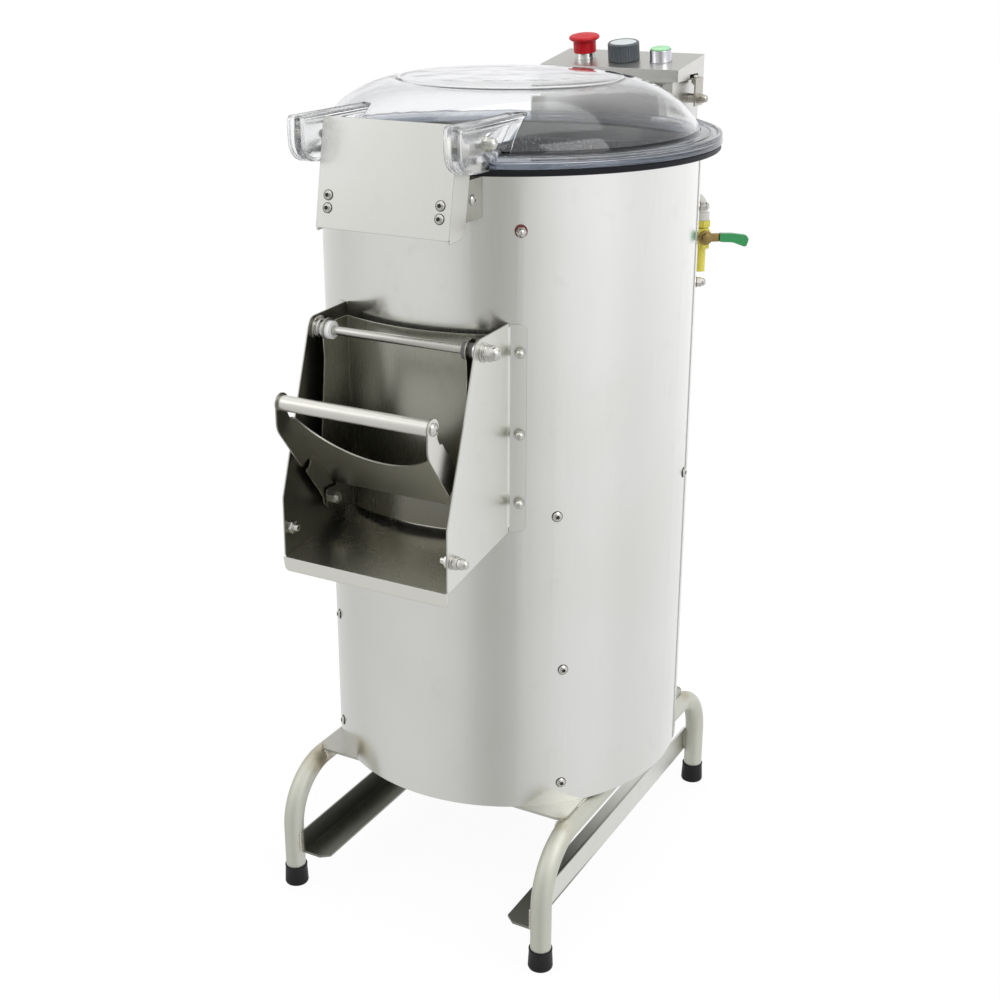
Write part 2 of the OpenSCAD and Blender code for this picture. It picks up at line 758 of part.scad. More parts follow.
module chute_floor() {
    lip = 16;
    len = norm([chute_front_low[0] - chute_low_back[0], chute_front_low[1] - chute_low_back[1]]);
    color("lightgray")
    difference() {
        translate([0, chute_front_low[0], chute_front_low[1]]) rotate([floor_slope, 0, 0]) {
            translate([-chute_in + gap, 0, 0]) cube([2 * (chute_in - gap), len + 20, sheet]);
            translate([-chute_in + gap, -2, -1]) cube([2 * (chute_in - gap), 3, 1 + sheet]);
            rotate([90, 0, 0]) translate([0, 0, 0.5]) linear_extrude(sheet)
                polygon(rounded([[-chute_x, -lip], [chute_x, -lip], [chute_x, sheet], [-chute_x, sheet]],
                    [5, 5, 0.8, 0.8]));
        }
        translate([0, 0, drum_z]) cylinder(r = drum_r + gap, h = drum_h, $fn = 180);
    }
}

module chute_nuts() {
    color("silver")
    for (s = [-1, 1]) for (z = flange_bolt_z) on_drum(s * flange_bolt_az, z, drum_r) {
        translate([0, 0, sheet + 2 * gap]) {
            difference() {
                cylinder(r = 6.5, h = 1.2);
                translate([0, 0, -1]) cylinder(r = m6_r + gap, h = 3);
            }
            translate([0, 0, 1.3]) cap_nut(10, m6_r + 0.05, 10);
        }
        translate([0, 0, -skin_t - 3.4]) cylinder(r = 6, h = 3.3);
        translate([0, 0, -skin_t - 3]) cylinder(r = m6_r, h = 11);
    }
}

module along_x(y, z) {
    translate([0, y, z]) rotate([0, 90, 0]) children();
}

rod_end = chute_x + 12;
module door_rod() {
    color("silver")
    along_x(rod_y, rod_z) translate([0, 0, -rod_end]) cylinder(r = rod_r, h = 2 * rod_end);
}

module rod_nuts() {
    color("silver")
    both_sides() {
        along_x(rod_y, rod_z) {
            translate([0, 0, chute_x + 0.1]) ring(10.5, rod_r + gap, 1.8);
            translate([0, 0, chute_x + 2]) ring(9, rod_r + gap, 1.5);
            translate([0, 0, chute_x + 3.7]) cap_nut(16, rod_r + 0.05, 16);
            translate([0, 0, chute_in - 2.1]) ring(14, rod_r + gap, 2);
            translate([0, 0, chute_in - 6.2]) ring(11, rod_r + gap, 4);
        }
    }
}

module latch_studs() {
    color("silver")
    both_sides() along_x(stud_y, stud_z) {
        translate([0, 0, stud_in]) cylinder(r = stud_r, h = chute_x + 13 - stud_in);
        translate([0, 0, chute_in - 5.6]) hex_nut(13, 5.5, stud_r + 0.05);
        translate([0, 0, chute_x + 0.1]) ring(8, stud_r + gap, 1.6);
        translate([0, 0, chute_x + 1.8]) hex_nut(13, 6, stud_r + 0.05);
        translate([0, 0, chute_x + 7.9]) cap_nut(11, stud_r + 0.05, 11.5);
    }
}

// ---- discharge door ----

function door_flange() = rounded([
    [rod_y - 11, rod_z + 2], [rod_y - 9, rod_z - 30],
    lever_at(52, fold_v + apart + 0.2), lever_at(2, fold_v + apart + 0.2),
    [pin_y - 11, pin_z + 13], [pin_y - 11, pin_z - 12],
    [door_edge_y + 0.7, door_low], [door_edge_y + 0.7, door_top], [rod_y + 16, door_top]],
    [0, 30, 4, 2, 6, 8, 0, 0, 10]);

module discharge_door() {
    color([0.55, 0.55, 0.53])
    difference() {
        union() {
            arc_sheet(door_in, door_out, door_low, door_top, -door_az(), door_az());
            both_sides() {
                yz_plate(door_x - sheet, sheet) {
                    polygon(door_flange());
                    translate([rod_y, rod_z]) circle(r = 13);
                }
            }
        }
        along_x(rod_y, rod_z) translate([0, 0, -200]) cylinder(r = bush_r() + gap / 2, h = 400);
        along_x(pin_y, pin_z) translate([0, 0, -200]) cylinder(r = pin_r + gap / 2, h = 400);
    }
}
function door_az() = asin((door_x - 0.4) / door_out);
function bush_r() = rod_r + 3;

module door_seal() {
    r0 = drum_r + 0.6;
    r1 = door_in - 0.1;
    w = 11;
    az_out = asin((win_x + w) / r1);
    az_in = asin((win_x - 1) / r1);
    top = rod_z + 1;
    low = door_low + 3;
    color([0.12, 0.12, 0.13]) difference() {
        arc_sheet(r0, r1, low, top, -az_out, az_out);
        arc_sheet(r0 - 1, r1 + 1, low + 6, top - w, -az_in, az_in);
    }
}

module door_bushings() {
    color("whitesmoke")
    both_sides() along_x(rod_y, rod_z) difference() {
        union() {
            translate([0, 0, door_x - sheet - 6.1]) cylinder(r = 10, h = 6);
            translate([0, 0, door_x - sheet - 1]) cylinder(r = bush_r(), h = chute_in - 6.6 - door_x + sheet + 1);
        }
        cylinder(r = rod_r + run, h = 200);
    }
}

module lever_pins() {
    color("silver")
    both_sides() along_x(pin_y, pin_z) {
        translate([0, 0, arm_in + arm_t + apart]) button_screw(pin_r, arm_in + arm_t - door_x + 12, 7, 4);
        translate([0, 0, door_x + 0.1]) ring(8, pin_r + run, arm_in - door_x - 0.1 - apart);
        translate([0, 0, door_x - sheet - 6.6]) hex_nut(13, 6.5, pin_r + 0.05);
        translate([0, 0, door_x - sheet - 6.6 - 1.3]) ring(6, pin_r + 0.05, 1.2);
    }
}

// A point of the lever: u along the arm from the pins, v square to it, in (y, z)
function lever_at(u, v) = [pin_y - u * cos(lever_tilt) + v * sin(lever_tilt),
                           pin_z + u * sin(lever_tilt) + v * cos(lever_tilt)];

// Places children drawn in (u, v, x) on the lever
module on_lever() {
    translate([0, pin_y, pin_z]) rotate([-lever_tilt, 0, 0]) mirror([0, 1, 0]) children();
}

arm_end = 11.5;
function arm_outline() = rounded([
    [-arm_end, edge_v], [hook_r - 5.5, edge_v], [hook_r - 5.5, -1], [hook_r + 5.5, -1], [hook_r + 5.5, edge_v - 2],
    [lever_len - 16, edge_v - 3], [lever_len + 4, grip_v - 10], [lever_len + 4, grip_v + 6],
    [lever_len - 16, grip_v - 1], [lever_len - 23, grip_v - 2],
    [lever_len - 27, fold_v], [10, fold_v], [0, 9], [-arm_end, 6]],
    [5, 1, 0, 0, 1.5, 24, 6, 4, 3, 3, 0, 4, 2, 5]);

module door_lever() {
    web_r = 96;
    web_low = 9;
    web_mid = 67.5;
    color([0.50, 0.50, 0.48])
    on_lever() difference() {
        union() {
            both_sides() yz_plate(arm_in, arm_t) {
                difference() {
                    polygon(arm_outline());
                    translate([hook_r, 0]) circle(r = stud_r + 1);
                    translate([hook_r - stud_r - 1, -20]) square([2 * stud_r + 2, 20]);
                }
                translate([lever_len, grip_v]) circle(r = grip_r + 2.5);
                circle(r = arm_end);
            }
            // web between the arms, with a wide scoop in its upper edge
            difference() {
                translate([-arm_in - 0.2, web_low, fold_v - arm_t]) cube([2 * arm_in + 0.4, lever_len - 27 - web_low, arm_t]);
                translate([0, web_mid + web_r, 0]) cylinder(r = web_r, h = 60, $fn = 120);
            }
        }
        along_x(0, 0) translate([0, 0, -200]) cylinder(r = pin_r + run, h = 400);
        along_x(lever_len, grip_v) translate([0, 0, -200]) cylinder(r = m6_r + gap, h = 400);
    }
}

module lever_grip() {
    color("lightgray")
    on_lever() along_x(lever_len, grip_v) translate([0, 0, -arm_in + 0.1])
        difference() {
            cylinder(r = grip_r, h = 2 * arm_in - 0.2);
            for (z = [-1, 2 * arm_in - 21]) translate([0, 0, z]) cylinder(r = m6_r + 0.05, h = 22);
        }
}

module grip_screws() {
    color("silver")
    on_lever() both_sides() along_x(lever_len, grip_v) translate([0, 0, arm_in + arm_t + 0.1])
        button_screw(m6_r, 18, 7, 4.4);
}

// ---- front hinge bracket ----

module on_bracket() {
    translate([0, brk_top_y, brk_top_z]) rotate([-brk_tilt, 0, 0]) children();
}

module hinge_bracket() {
    color("gainsboro")
    difference() {
        on_bracket() {
            rotate([90, 0, 0]) linear_extrude(brk_t) polygon(rounded(
                [[-brk_x, -brk_h], [brk_x, -brk_h], [brk_x, 0], [-brk_x, 0]], [2, 2, 1, 1]));
            both_sides() yz_plate(brk_x - brk_t, brk_t) polygon(rounded(
                [[-0.5, 0], [-0.5, -brk_h - 3], [brk_depth, -brk_h + 4], [brk_depth, -4], [brk_depth - 8, 0]],
                [0, 1, 14, 2, 2]));
        }
        along_x(hinge_y, hinge_z) translate([0, 0, -200]) cylinder(r = m8_r + gap, h = 400);
        for (x = [-1, 1]) for (d = brk_screw_d()) on_bracket() translate([x * brk_screw_x(), 5, -d])
            rotate([90, 0, 0]) cylinder(r = 2.6, h = 20);
    }
}
function brk_screw_x() = brk_x - 13;
function brk_screw_d() = [79.7, 92.9];

// Folded angles that carry the bracket on the drum
module bracket_angles() {
    x1 = brk_x - brk_t - gap;
    low = drum_top - 48;
    high = seal_low - 3;
    back = -sqrt(pow(drum_r + sheet + gap, 2) - pow(x1, 2));
    color("silver")
    difference() {
        both_sides() union() {
            yz_plate(x1 - sheet, sheet) polygon([[back, low], [back, high], [brk_plane(high) + gap, high],
                [brk_plane(low + 7) + gap, low + 7], [brk_plane(low) + 5, low]]);
            on_bracket() translate([0, gap / 2, 0]) rotate([90, 0, 0]) translate([0, 0, -sheet]) linear_extrude(sheet)
                polygon([[x1 - 26, -102], [x1 - 0.1, -102], [x1 - 0.1, -62], [x1 - 26, -62]]);
            difference() {
                arc_sheet(drum_r + gap, drum_r + gap + sheet, low, high, asin((brk_x - 38.5) / drum_r),
                    asin((x1 - 0.5) / drum_r));
            }
        }
        translate([0, 0, drum_z]) cylinder(r = drum_r + gap / 2, h = drum_h, $fn = 180);
        for (x = [-1, 1]) for (d = brk_screw_d()) on_bracket() translate([x * brk_screw_x(), 15, -d])
            rotate([90, 0, 0]) cylinder(r = 2.6, h = 30);
        for (s = [-1, 1]) on_drum(s * angle_az(), angle_bolt_z(), drum_r - 5) cylinder(r = m6_r + gap, h = 20);
        along_x(side_screw()[0], side_screw()[1]) translate([0, 0, -200]) cylinder(r = m6_r + gap, h = 400);
    }
}
function brk_plane(z) = brk_top_y - (brk_top_z - z) * tan(brk_tilt);
function side_screw() = [-(drum_r + 7), drum_top - 27];

module bracket_screws() {
    color("silver") {
        for (x = [-1, 1]) for (d = brk_screw_d()) on_bracket() translate([x * brk_screw_x(), -brk_t - 0.1, -d])
            rotate([90, 0, 0]) {
                button_screw(2.4, 8, 5, 2.8);
                translate([0, 0, -brk_t - sheet - 4.6]) hex_nut(8, 4, 2.45);
            }
        for (s = [-1, 1]) on_drum(s * angle_az(), angle_bolt_z(), drum_r) {
            translate([0, 0, sheet + 2 * gap]) hex_nut(10, 5, m6_r + 0.05);
            translate([0, 0, -skin_t - 3.4]) cylinder(r = 6, h = 3.3);
            translate([0, 0, -skin_t - 3]) cylinder(r = m6_r, h = 11);
        }
        both_sides() along_x(side_screw()[0], side_screw()[1]) {
            translate([0, 0, brk_x - brk_t - gap + 0.1]) button_screw(m6_r, 8, 5.6);
            translate([0, 0, brk_x - brk_t - gap - sheet - 5.1]) hex_nut(10, 5, m6_r + 0.05);
        }
    }
}

module hinge_bolts() {
    color("silver")
    both_sides() along_x(hinge_y, hinge_z) {
        translate([0, 0, brk_x - brk_t - 0.1]) mirror([0, 0, 1]) button_screw(m8_r, ear_in + ear_w + 12 - brk_x, 7, 4.4);
        translate([0, 0, ear_in + ear_w + apart]) ring(8, m8_r + gap, 1.4);
        translate([0, 0, ear_in + ear_w + apart + 1.5]) cap_nut(13, m8_r + 0.05, 13);
    }
}

// ---- lid ----

function dome_curve(n) = bezier([dome_r, 0], [dome_r - 7, dome_rise * 0.47],
    [plateau_r + 36, dome_rise * 0.93], [plateau_r, dome_rise], n);
plateau_up = 6;

module dome_profile(inset) {
    c = dome_curve(10);
    top = dome_rise + plateau_up - inset;
    translate([0, lid_base]) polygon(concat(
        [[0, -30], [dome_r - inset, -30]],
        [for (p = c) [max(0, p[0] - inset), p[1] - inset * min(1, p[1] / dome_rise)]],
        [[plateau_r - 3 - inset * 0.4, dome_rise + 1 - inset], [plateau_r - 16, dome_rise + 3.4 - inset],
         [plateau_r - 50, top - 0.4], [0, top]]));
}

module lid_flange_profile() {
    polygon([[dome_r - lid_t - 4, lid_low], [dome_r - lid_t - 4, lid_base - 2], [dome_r - lid_t, lid_base + 4],
        [dome_r, lid_base + 4], [dome_r + 1.5, lid_base], [lid_r - 7, lid_base - 0.5], [lid_r - 6, lid_base + 1.2],
        [lid_r - 2, lid_base + 1.2], [lid_r - 0.6, lid_base - 0.5], [lid_r - 0.8, lid_low + 5],
        [lid_r, lid_low + 3.5], [lid_r, lid_low], [lid_r - 4, lid_low], [lid_r - 4, lid_base - 4.5],
        [dome_r, lid_base - 4.5], [dome_r, lid_low]]);
}

module ear_outline() {
    back_low = -sqrt(pow(lid_r - 3, 2) - pow(ear_in + ear_w, 2));
    polygon(rounded([[ear_front, ear_top], [ear_front, ear_low + 14], [ear_front + 14, ear_low + 2],
        [hinge_y - 6, ear_low], [back_low + 40, ear_low], [-100, ear_low + 20], [-100, ear_top]],
        [5, 9, 9, 8, 0, 0, 0]));
}

module lid_ear() {
    difference() {
        yz_plate(ear_in, ear_w) ear_outline();
        // hollow of the ear, open towards the drum
        yz_plate(ear_in + ear_t, ear_w - 2 * ear_t) intersection() {
            ear_outline();
            translate([ear_front + ear_t, ear_low - 5]) square([300, ear_top - ear_t - ear_low + 5]);
        }
    }
}

module lid() {
    color([0.85, 0.88, 0.9, 0.45])
    difference() {
        union() {
            rotate_extrude($fn = 180) difference() {
                dome_profile(0);
                dome_profile(lid_t);
                translate([-1, 0]) square([400, lid_base]);
            }
            rotate_extrude($fn = 180) lid_flange_profile();
            both_sides() difference() {
                lid_ear();
                rotate_extrude($fn = 180) dome_profile(lid_t / 2);
                translate([0, 0, lid_low - 20]) cylinder(r = dome_r + 1, h = 24 + 5);
            }
        }
        along_x(hinge_y, hinge_z) translate([0, 0, -200]) cylinder(r = m8_r + run, h = 400);
    }
}

// ---- control box ----

// Places children on the sloping panel: x across, t up the slope, +Z out of it
module on_panel(x, t) {
    translate([0, panel_y0, panel_z0]) rotate([panel_tilt, 0, 0]) translate([x, t, 0]) children();
}
panel_len = norm([panel_depth, panel_rise]);
panel_mid = panel_len * 0.47;

module control_panel() {
    lip = panel_z0 - box_top - gap;
    color("silver")
    difference() {
        union() {
            on_panel(-panel_x, 0) translate([0, 0, -sheet]) cube([2 * panel_x, panel_len, sheet]);
            translate([-panel_x, panel_y0, panel_z0 - lip]) cube([2 * panel_x, sheet, lip - 0.4]);
            translate([-panel_x, panel_y1 - sheet, box_top - 8]) cube([2 * panel_x, sheet, panel_z0 + panel_rise - box_top + 7]);
            both_sides() yz_plate(panel_x - sheet, sheet) polygon([[panel_y0 + 0.2, panel_z0 - 0.4],
                [panel_y0 + 0.2, box_top + gap], [strap_y - 14, box_top + gap], [strap_y - 14, box_top + 6.5],
                [strap_y + 14, box_top + 6.5], [strap_y + 14, box_top + gap], [panel_y1 - 0.2, box_top + gap],
                [panel_y1 - 0.2, panel_z0 + panel_rise - 0.6]]);
        }
        on_panel(stop_x, panel_mid) translate([0, 0, -5]) cylinder(r = 11.2, h = 10);
        on_panel(knob_x, panel_mid) translate([0, 0, -5]) cylinder(r = 5.2, h = 10);
        on_panel(start_x, panel_mid) translate([0, 0, -5]) cylinder(r = 11.2, h = 10);
    }
}

module electrics_box() {
    w = 1.5;
    color("silver")
    difference() {
        union() {
            translate([-box_x, box_y0, box_low]) cube([2 * box_x, box_y1 - box_y0, box_top - box_low]);
            // sides run on towards the drum
            both_sides() translate([box_x - w, box_side_y, box_low]) cube([w, box_y0 - box_side_y + 1, box_top - box_low]);
        }
        translate([-box_x + w, box_y0 + w, box_low + w]) cube([2 * (box_x - w), 200, box_top - box_low - 2 * w]);
        translate([-box_x + 12, panel_y0 + 8, box_top - 5]) cube([2 * box_x - 24, panel_depth - 30, 10]);
        for (z = mount_z()) translate([0, box_y0 - 1, z]) rotate([-90, 0, 0]) cylinder(r = m6_r + gap, h = 5);
        strap_holes();
        translate([40, box_y0 + 50, box_low - 1]) cylinder(r = 10.2, h = 5);
    }
    // contactor, terminal strip and cable gland
    color("dimgray") {
        translate([-60, box_y0 + w, box_low + 120]) cube([50, 62, 80]);
        translate([-5, box_y0 + w, box_low + 130]) cube([70, 34, 30]);
    }
    color("black") translate([40, box_y0 + 50, box_low]) {
        translate([0, 0, -9]) hex_nut(24, 8.8, 5);
        translate([0, 0, -0.3]) ring(10, 5, 9);
        translate([0, 0, -20]) ring(10, 5, 11);
    }
}

module box_cover_plate() {
    y = box_y1 + 0.1;
    color("silver") {
        translate([-box_x, y, box_low]) difference() {
            cube([2 * box_x, sheet, box_top - 3 - box_low]);
            for (x = [12, 2 * box_x - 12]) for (z = [12, box_top - box_low - 24]) translate([x, -1, z])
                rotate([-90, 0, 0]) cylinder(r = 2.3, h = 5);
        }
        for (x = [-box_x + 12, box_x - 12]) for (z = [12, box_top - box_low - 24])
            translate([x, y + sheet + 0.1, box_low + z]) rotate([-90, 0, 0]) button_screw(2.1, 6, 4.4, 2.4);
    }
}

// Blocks with a hollow back that hold the box on the drum
module box_mounts() {
    color("silver")
    for (z = mount_z()) difference() {
        translate([-45, drum_r - 10, z - 20]) cube([90, box_y0 - drum_r + 10 - 0.1, 40]);
        translate([0, 0, z - 30]) cylinder(r = drum_r + gap / 2, h = 60, $fn = 180);
        translate([-35, drum_r - 20, z - 30]) cube([25, box_y0 - drum_r + 16, 60]);
        translate([10, drum_r - 20, z - 30]) cube([25, box_y0 - drum_r + 16, 60]);
        translate([0, drum_r - 20, z]) rotate([-90, 0, 0]) cylinder(r = m6_r + gap, h = 60);
    }
    color("silver")
    for (z = mount_z()) translate([0, box_y0 + 1.6, z]) rotate([-90, 0, 0]) {
        button_screw(m6_r, 32, 5.6);
        translate([0, 0, -(box_y0 + 1.6 - skin_in) - 5.1]) hex_nut(10, 5, m6_r + 0.05);
    }
}

strap_y = panel_y0 + 54;
strap_out = panel_x + 8;
strap_bolt = panel_x + 2.5;
module strap_holes() {
    both_sides() {
        translate([strap_bolt, strap_y, box_top - 5]) cylinder(r = m6_r + gap, h = 10);
        along_x(strap_y, box_top - 24) translate([0, 0, box_x - 5]) cylinder(r = m6_r + gap, h = 30);
    }
}

module box_straps() {
    w = 26;
    color("silver") {
        difference() {
            both_sides() {
                translate([box_x - 12, strap_y - w / 2, box_top + 0.1]) cube([strap_out - box_x + 12, w, 2]);
                translate([strap_out - 2, strap_y - w / 2, box_top - 33]) cube([2, w, 34]);
            }
            strap_holes();
        }
        both_sides() {
            translate([strap_bolt, strap_y, box_top + 2.2]) button_screw(m6_r, 9, 4.6);
            translate([strap_bolt, strap_y, box_top - 5.2]) hex_nut(10, 5, m6_r + 0.05);
            along_x(strap_y, box_top - 24) {
                translate([0, 0, box_x + 0.1]) ring(6, m6_r + gap, strap_out - 2 - box_x - 0.2);
                translate([0, 0, strap_out + 0.1]) ring(6.5, m6_r + gap, 1.4);
                translate([0, 0, strap_out + 1.6]) cap_nut(10, m6_r + 0.05, 11);
                translate([0, 0, box_x - 1.5 - 6.1]) hex_nut(10, 4.6, m6_r + 0.05);
                translate([0, 0, box_x - 9]) cylinder(r = m6_r, h = strap_out - box_x + 15);
            }
        }
    }
}

stop_travel = 5;
module stop_body() {
    color("silver")
    on_panel(stop_x, panel_mid) {
        difference() {
            union() {
                translate([0, 0, 0.1]) cylinder(r = 13.6, h = 2.4);
                translate([0, 0, 2]) cylinder(r = 11.5, h = 6);
                translate([0, 0, -16]) cylinder(r = 11, h = 17);
            }
            translate([0, 0, -12]) cylinder(r = 8.2, h = 30);
        }
        translate([0, 0, -sheet - 5.2]) hex_nut(27, 5, 11.1);
        translate([-13, -13, -42]) cube([26, 26, 25.9]);
    }
}
module stop_stem() {
    color([0.55, 0.08, 0.08])
    on_panel(stop_x, panel_mid) translate([0, 0, -5]) cylinder(r = 8.2 - run, h = 19.7);
}
module stop_head() {
    color([0.85, 0.10, 0.10])
    on_panel(stop_x, panel_mid) translate([0, 0, 8 + stop_travel + 1.2]) difference() {
        rotate_extrude() polygon(concat([[0, 0.6], [13.2, 0], [14.6, 1.4], [14.8, 8], [17, 9.4]],
            bezier([stop_r - 1.5, 10.4], [stop_r + 0.8, 11.4], [stop_r + 0.4, 14.8], [stop_r - 3, 15.6], 6),
            bezier([stop_r - 7, 16.3], [9, 17.4], [5, 17.6], [0, 17.7], 4)));
        translate([0, 0, -1]) cylinder(r = 8.2, h = 2.1);
    }
}

module timer_knob() {
    h = 22.5;
    color([0.30, 0.32, 0.34])
    on_panel(knob_x, panel_mid) translate([0, 0, 0.6]) difference() {
        union() {
            cylinder(r = knob_r, h = h - 1.5, $fn = 96);
            translate([0, 0, h - 1.5]) cylinder(r1 = knob_r, r2 = knob_r - 1.5, h = 1.5, $fn = 96);
            translate([0, 0, -14]) cylinder(r = 5, h = 15);
        }
        for (i = [0 : 35]) rotate([0, 0, i * 10]) translate([knob_r + 0.35, 0, -1])
            cylinder(r = 1.1, h = h - 2, $fn = 6);
        translate([0, 0, h - 0.8]) cylinder(r = knob_r - 3, h = 2);
    }
    // clockwork of the timer under the panel
    color("dimgray")
    on_panel(knob_x, panel_mid) translate([0, 0, -14 - 0.2]) cylinder(r = 4, h = 1);
}

module start_bezel() {
    color("whitesmoke")
    on_panel(start_x, panel_mid) {
        difference() {
            union() {
                translate([0, 0, 0.1]) cylinder(r1 = bezel_r + 0.6, r2 = bezel_r, h = 3);
                translate([0, 0, 3]) cylinder(r = bezel_r, h = 8);
                translate([0, 0, 11]) cylinder(r1 = bezel_r, r2 = bezel_r - 1.4, h = 1.4);
                translate([0, 0, -16]) cylinder(r = 11, h = 17);
            }
            translate([0, 0, 3]) cylinder(r = 11, h = 20);
            translate([0, 0, -20]) cylinder(r = 6, h = 30);
        }
        translate([0, 0, -sheet - 5.2]) hex_nut(27, 5, 11.1);
        translate([-13, -13, -42]) cube([26, 26, 25.9]);
    }
}
module start_button() {
    color([0.25, 0.65, 0.35])
    on_panel(start_x, panel_mid) {
        translate([0, 0, 7]) cylinder(r = 11 - 0.3, h = 9.5);
        translate([0, 0, 16.4]) intersection() {
            cylinder(r = 10.7, h = 2);
            translate([0, 0, -38]) sphere(r = 39.4);
        }
        translate([0, 0, -8]) cylinder(r = 6 - 0.3, h = 16);
    }
}

// ---- water ----

module on_valve() {
    on_drum(valve_az, valve_z, drum_r + valve_out) children();
}

// Ball valve on a vertical pipe; x runs round the drum, y up and z outwards
module water_valve() {
    color("gold")
    on_valve() difference() {
        union() {
            rotate([-90, 0, 0]) translate([0, 0, -44]) cylinder(r = pipe_r, h = 70);
            rotate([-90, 0, 0]) translate([0, 0, -16]) cylinder(d = 21, h = 8, $fn = 6);
            rotate([-90, 0, 0]) translate([0, 0, 10]) cylinder(d = 21, h = 8, $fn = 6);
            sphere(r = 12);
            rotate([0, -90, 0]) cylinder(r = 7, h = 17);
        }
        rotate([-90, 0, 0]) translate([0, 0, -50]) cylinder(r = pipe_bore, h = 100);
        sphere(r = 8.4);
        rotate([0, -90, 0]) cylinder(r = 3.2, h = 30);
    }
}

module valve_lever() {
    color([0.05, 0.45, 0.25])
    on_valve() {
        difference() {
            union() {
                sphere(r = 8);
                rotate([0, -90, 0]) cylinder(r = 3.2 - run, h = 24);
                rotate([0, -90, 0]) translate([0, 0, 17.4]) cylinder(r = 8, h = 3);
                translate([-20.4, -4.5, 0]) cube([3, 9, 20]);
                // grip that droops towards its end
                translate([-22.4, 0, 17]) rotate([0, 90, 0]) linear_extrude(7)
                    polygon(rounded([[0, -5], [-16, -6], [-33, -12.5], [-36, -3], [-33, 2], [-16, 4.5], [0, 5]],
                        [2, 10, 3, 2, 3, 10, 2]));
            }
            // the ball's bore stands across the pipe while the lever points outwards
            translate([0, 0, -9]) cylinder(r = pipe_bore, h = 18);
        }
    }
}

// Grey pipe from the valve, bent into the drum, with its spray head
module spray_pipe() {
    top = 46;
    color([0.75, 0.76, 0.76])
    on_valve() {
        difference() {
            union() {
                translate([0, 18.2, 0]) rotate([-90, 0, 0]) difference() {
                    cylinder(r = 9, h = 9);
                    translate([0, 0, -1]) cylinder(r = pipe_r + 0.05, h = 9);
                }
                translate([0, 26.2, 0]) rotate([-90, 0, 0]) cylinder(r = pipe_r, h = top - elbow_r - 26.2);
                translate([0, top - elbow_r, -elbow_r]) rotate([0, -90, 0]) rotate_extrude(angle = 90)
                    translate([elbow_r, 0]) circle(r = pipe_r, $fn = 48);
                translate([0, top, -elbow_r]) mirror([0, 0, 1]) cylinder(r = pipe_r, h = 16);
            }
            translate([0, 20, 0]) rotate([-90, 0, 0]) cylinder(r = pipe_bore, h = top - elbow_r - 20 + 0.01);
            translate([0, top, -elbow_r - 40]) cylinder(r = pipe_bore, h = 40);
        }
    }
}

leg_tube_left();
leg_tube_right();
foot_caps();
angle_rails();
base_plate();
base_ring();
base_bolts();
drum_skin();
rim_seal();
chamber_liner();
liner_bolts();
seal_washers();
skin_screws();
chamber_floor();
drain_stub();
bearing_housing();
bearings();
shaft_seal();
rotor_shaft();
abrasive_disc();
disc_nut();
driven_pulley();
drive_belt();
motor_shelf();
motor();
motor_shaft();
motor_pulley();
chute_side_left();
chute_side_right();
chute_floor();
chute_nuts();
door_rod();
rod_nuts();
latch_studs();
discharge_door();
door_seal();
door_bushings();
lever_pins();
door_lever();
lever_grip();
grip_screws();
hinge_bracket();
bracket_angles();
bracket_screws();
hinge_bolts();
lid();
electrics_box();
box_mounts();
box_cover_plate();
box_straps();
control_panel();
stop_body();
stop_stem();
stop_head();
timer_knob();
start_bezel();
start_button();
water_valve();
valve_lever();
spray_pipe();
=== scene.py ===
import math

import bmesh
import bpy
from mathutils import Matrix, Vector


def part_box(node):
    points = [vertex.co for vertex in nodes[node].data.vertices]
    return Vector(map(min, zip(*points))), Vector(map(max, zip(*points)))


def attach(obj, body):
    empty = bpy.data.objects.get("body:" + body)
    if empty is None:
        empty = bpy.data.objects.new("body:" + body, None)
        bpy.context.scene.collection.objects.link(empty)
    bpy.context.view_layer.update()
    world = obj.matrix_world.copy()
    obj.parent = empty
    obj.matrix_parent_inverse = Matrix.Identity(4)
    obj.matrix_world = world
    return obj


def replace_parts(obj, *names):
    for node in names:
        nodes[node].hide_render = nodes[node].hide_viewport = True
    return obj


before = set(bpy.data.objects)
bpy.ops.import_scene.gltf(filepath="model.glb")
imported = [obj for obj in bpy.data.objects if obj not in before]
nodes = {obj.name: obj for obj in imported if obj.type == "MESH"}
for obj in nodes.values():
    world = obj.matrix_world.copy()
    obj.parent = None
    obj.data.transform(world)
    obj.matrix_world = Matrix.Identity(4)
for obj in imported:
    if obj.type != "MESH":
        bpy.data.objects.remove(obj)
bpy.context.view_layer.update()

print("scene: frame loaded,", len(nodes), "nodes")

# camera

cameraSetup = {"place": (0.8379, -1.5634, 1.1586), "tilt": 69.86, "turn": 28.95,
               "lens": 54.32, "shiftX": 0.010, "shiftY": -0.0248}

cameraData = bpy.data.cameras.new("camera")
camera = bpy.data.objects.new("camera", cameraData)
bpy.context.scene.collection.objects.link(camera)
camera.location = cameraSetup["place"]
camera.rotation_euler = (math.radians(cameraSetup["tilt"]), 0, math.radians(cameraSetup["turn"]))
cameraData.sensor_width = 36
cameraData.lens = cameraSetup["lens"]
cameraData.shift_x = cameraSetup["shiftX"]
cameraData.shift_y = cameraSetup["shiftY"]
cameraData.clip_start = 0.01
cameraData.clip_end = 50
bpy.context.scene.camera = camera

# helpers for shader nodes


def addNode(tree, kind, sockets=None, **props):
    node = tree.nodes.new("ShaderNode" + kind)
    for key, value in props.items():
        setattr(node, key, value)
    for key, value in (sockets or {}).items():
        feed(tree, node.inputs[key], value)
    return node


# a socket is linked, anything else is set as the value
def feed(tree, target, value):
    if isinstance(value, bpy.types.NodeSocket):
        tree.links.new(value, target)
    else:
        target.default_value = value


def calc(tree, how, a, b=0.5):
    return addNode(tree, "Math", {0: a, 1: b}, operation=how).outputs[0]


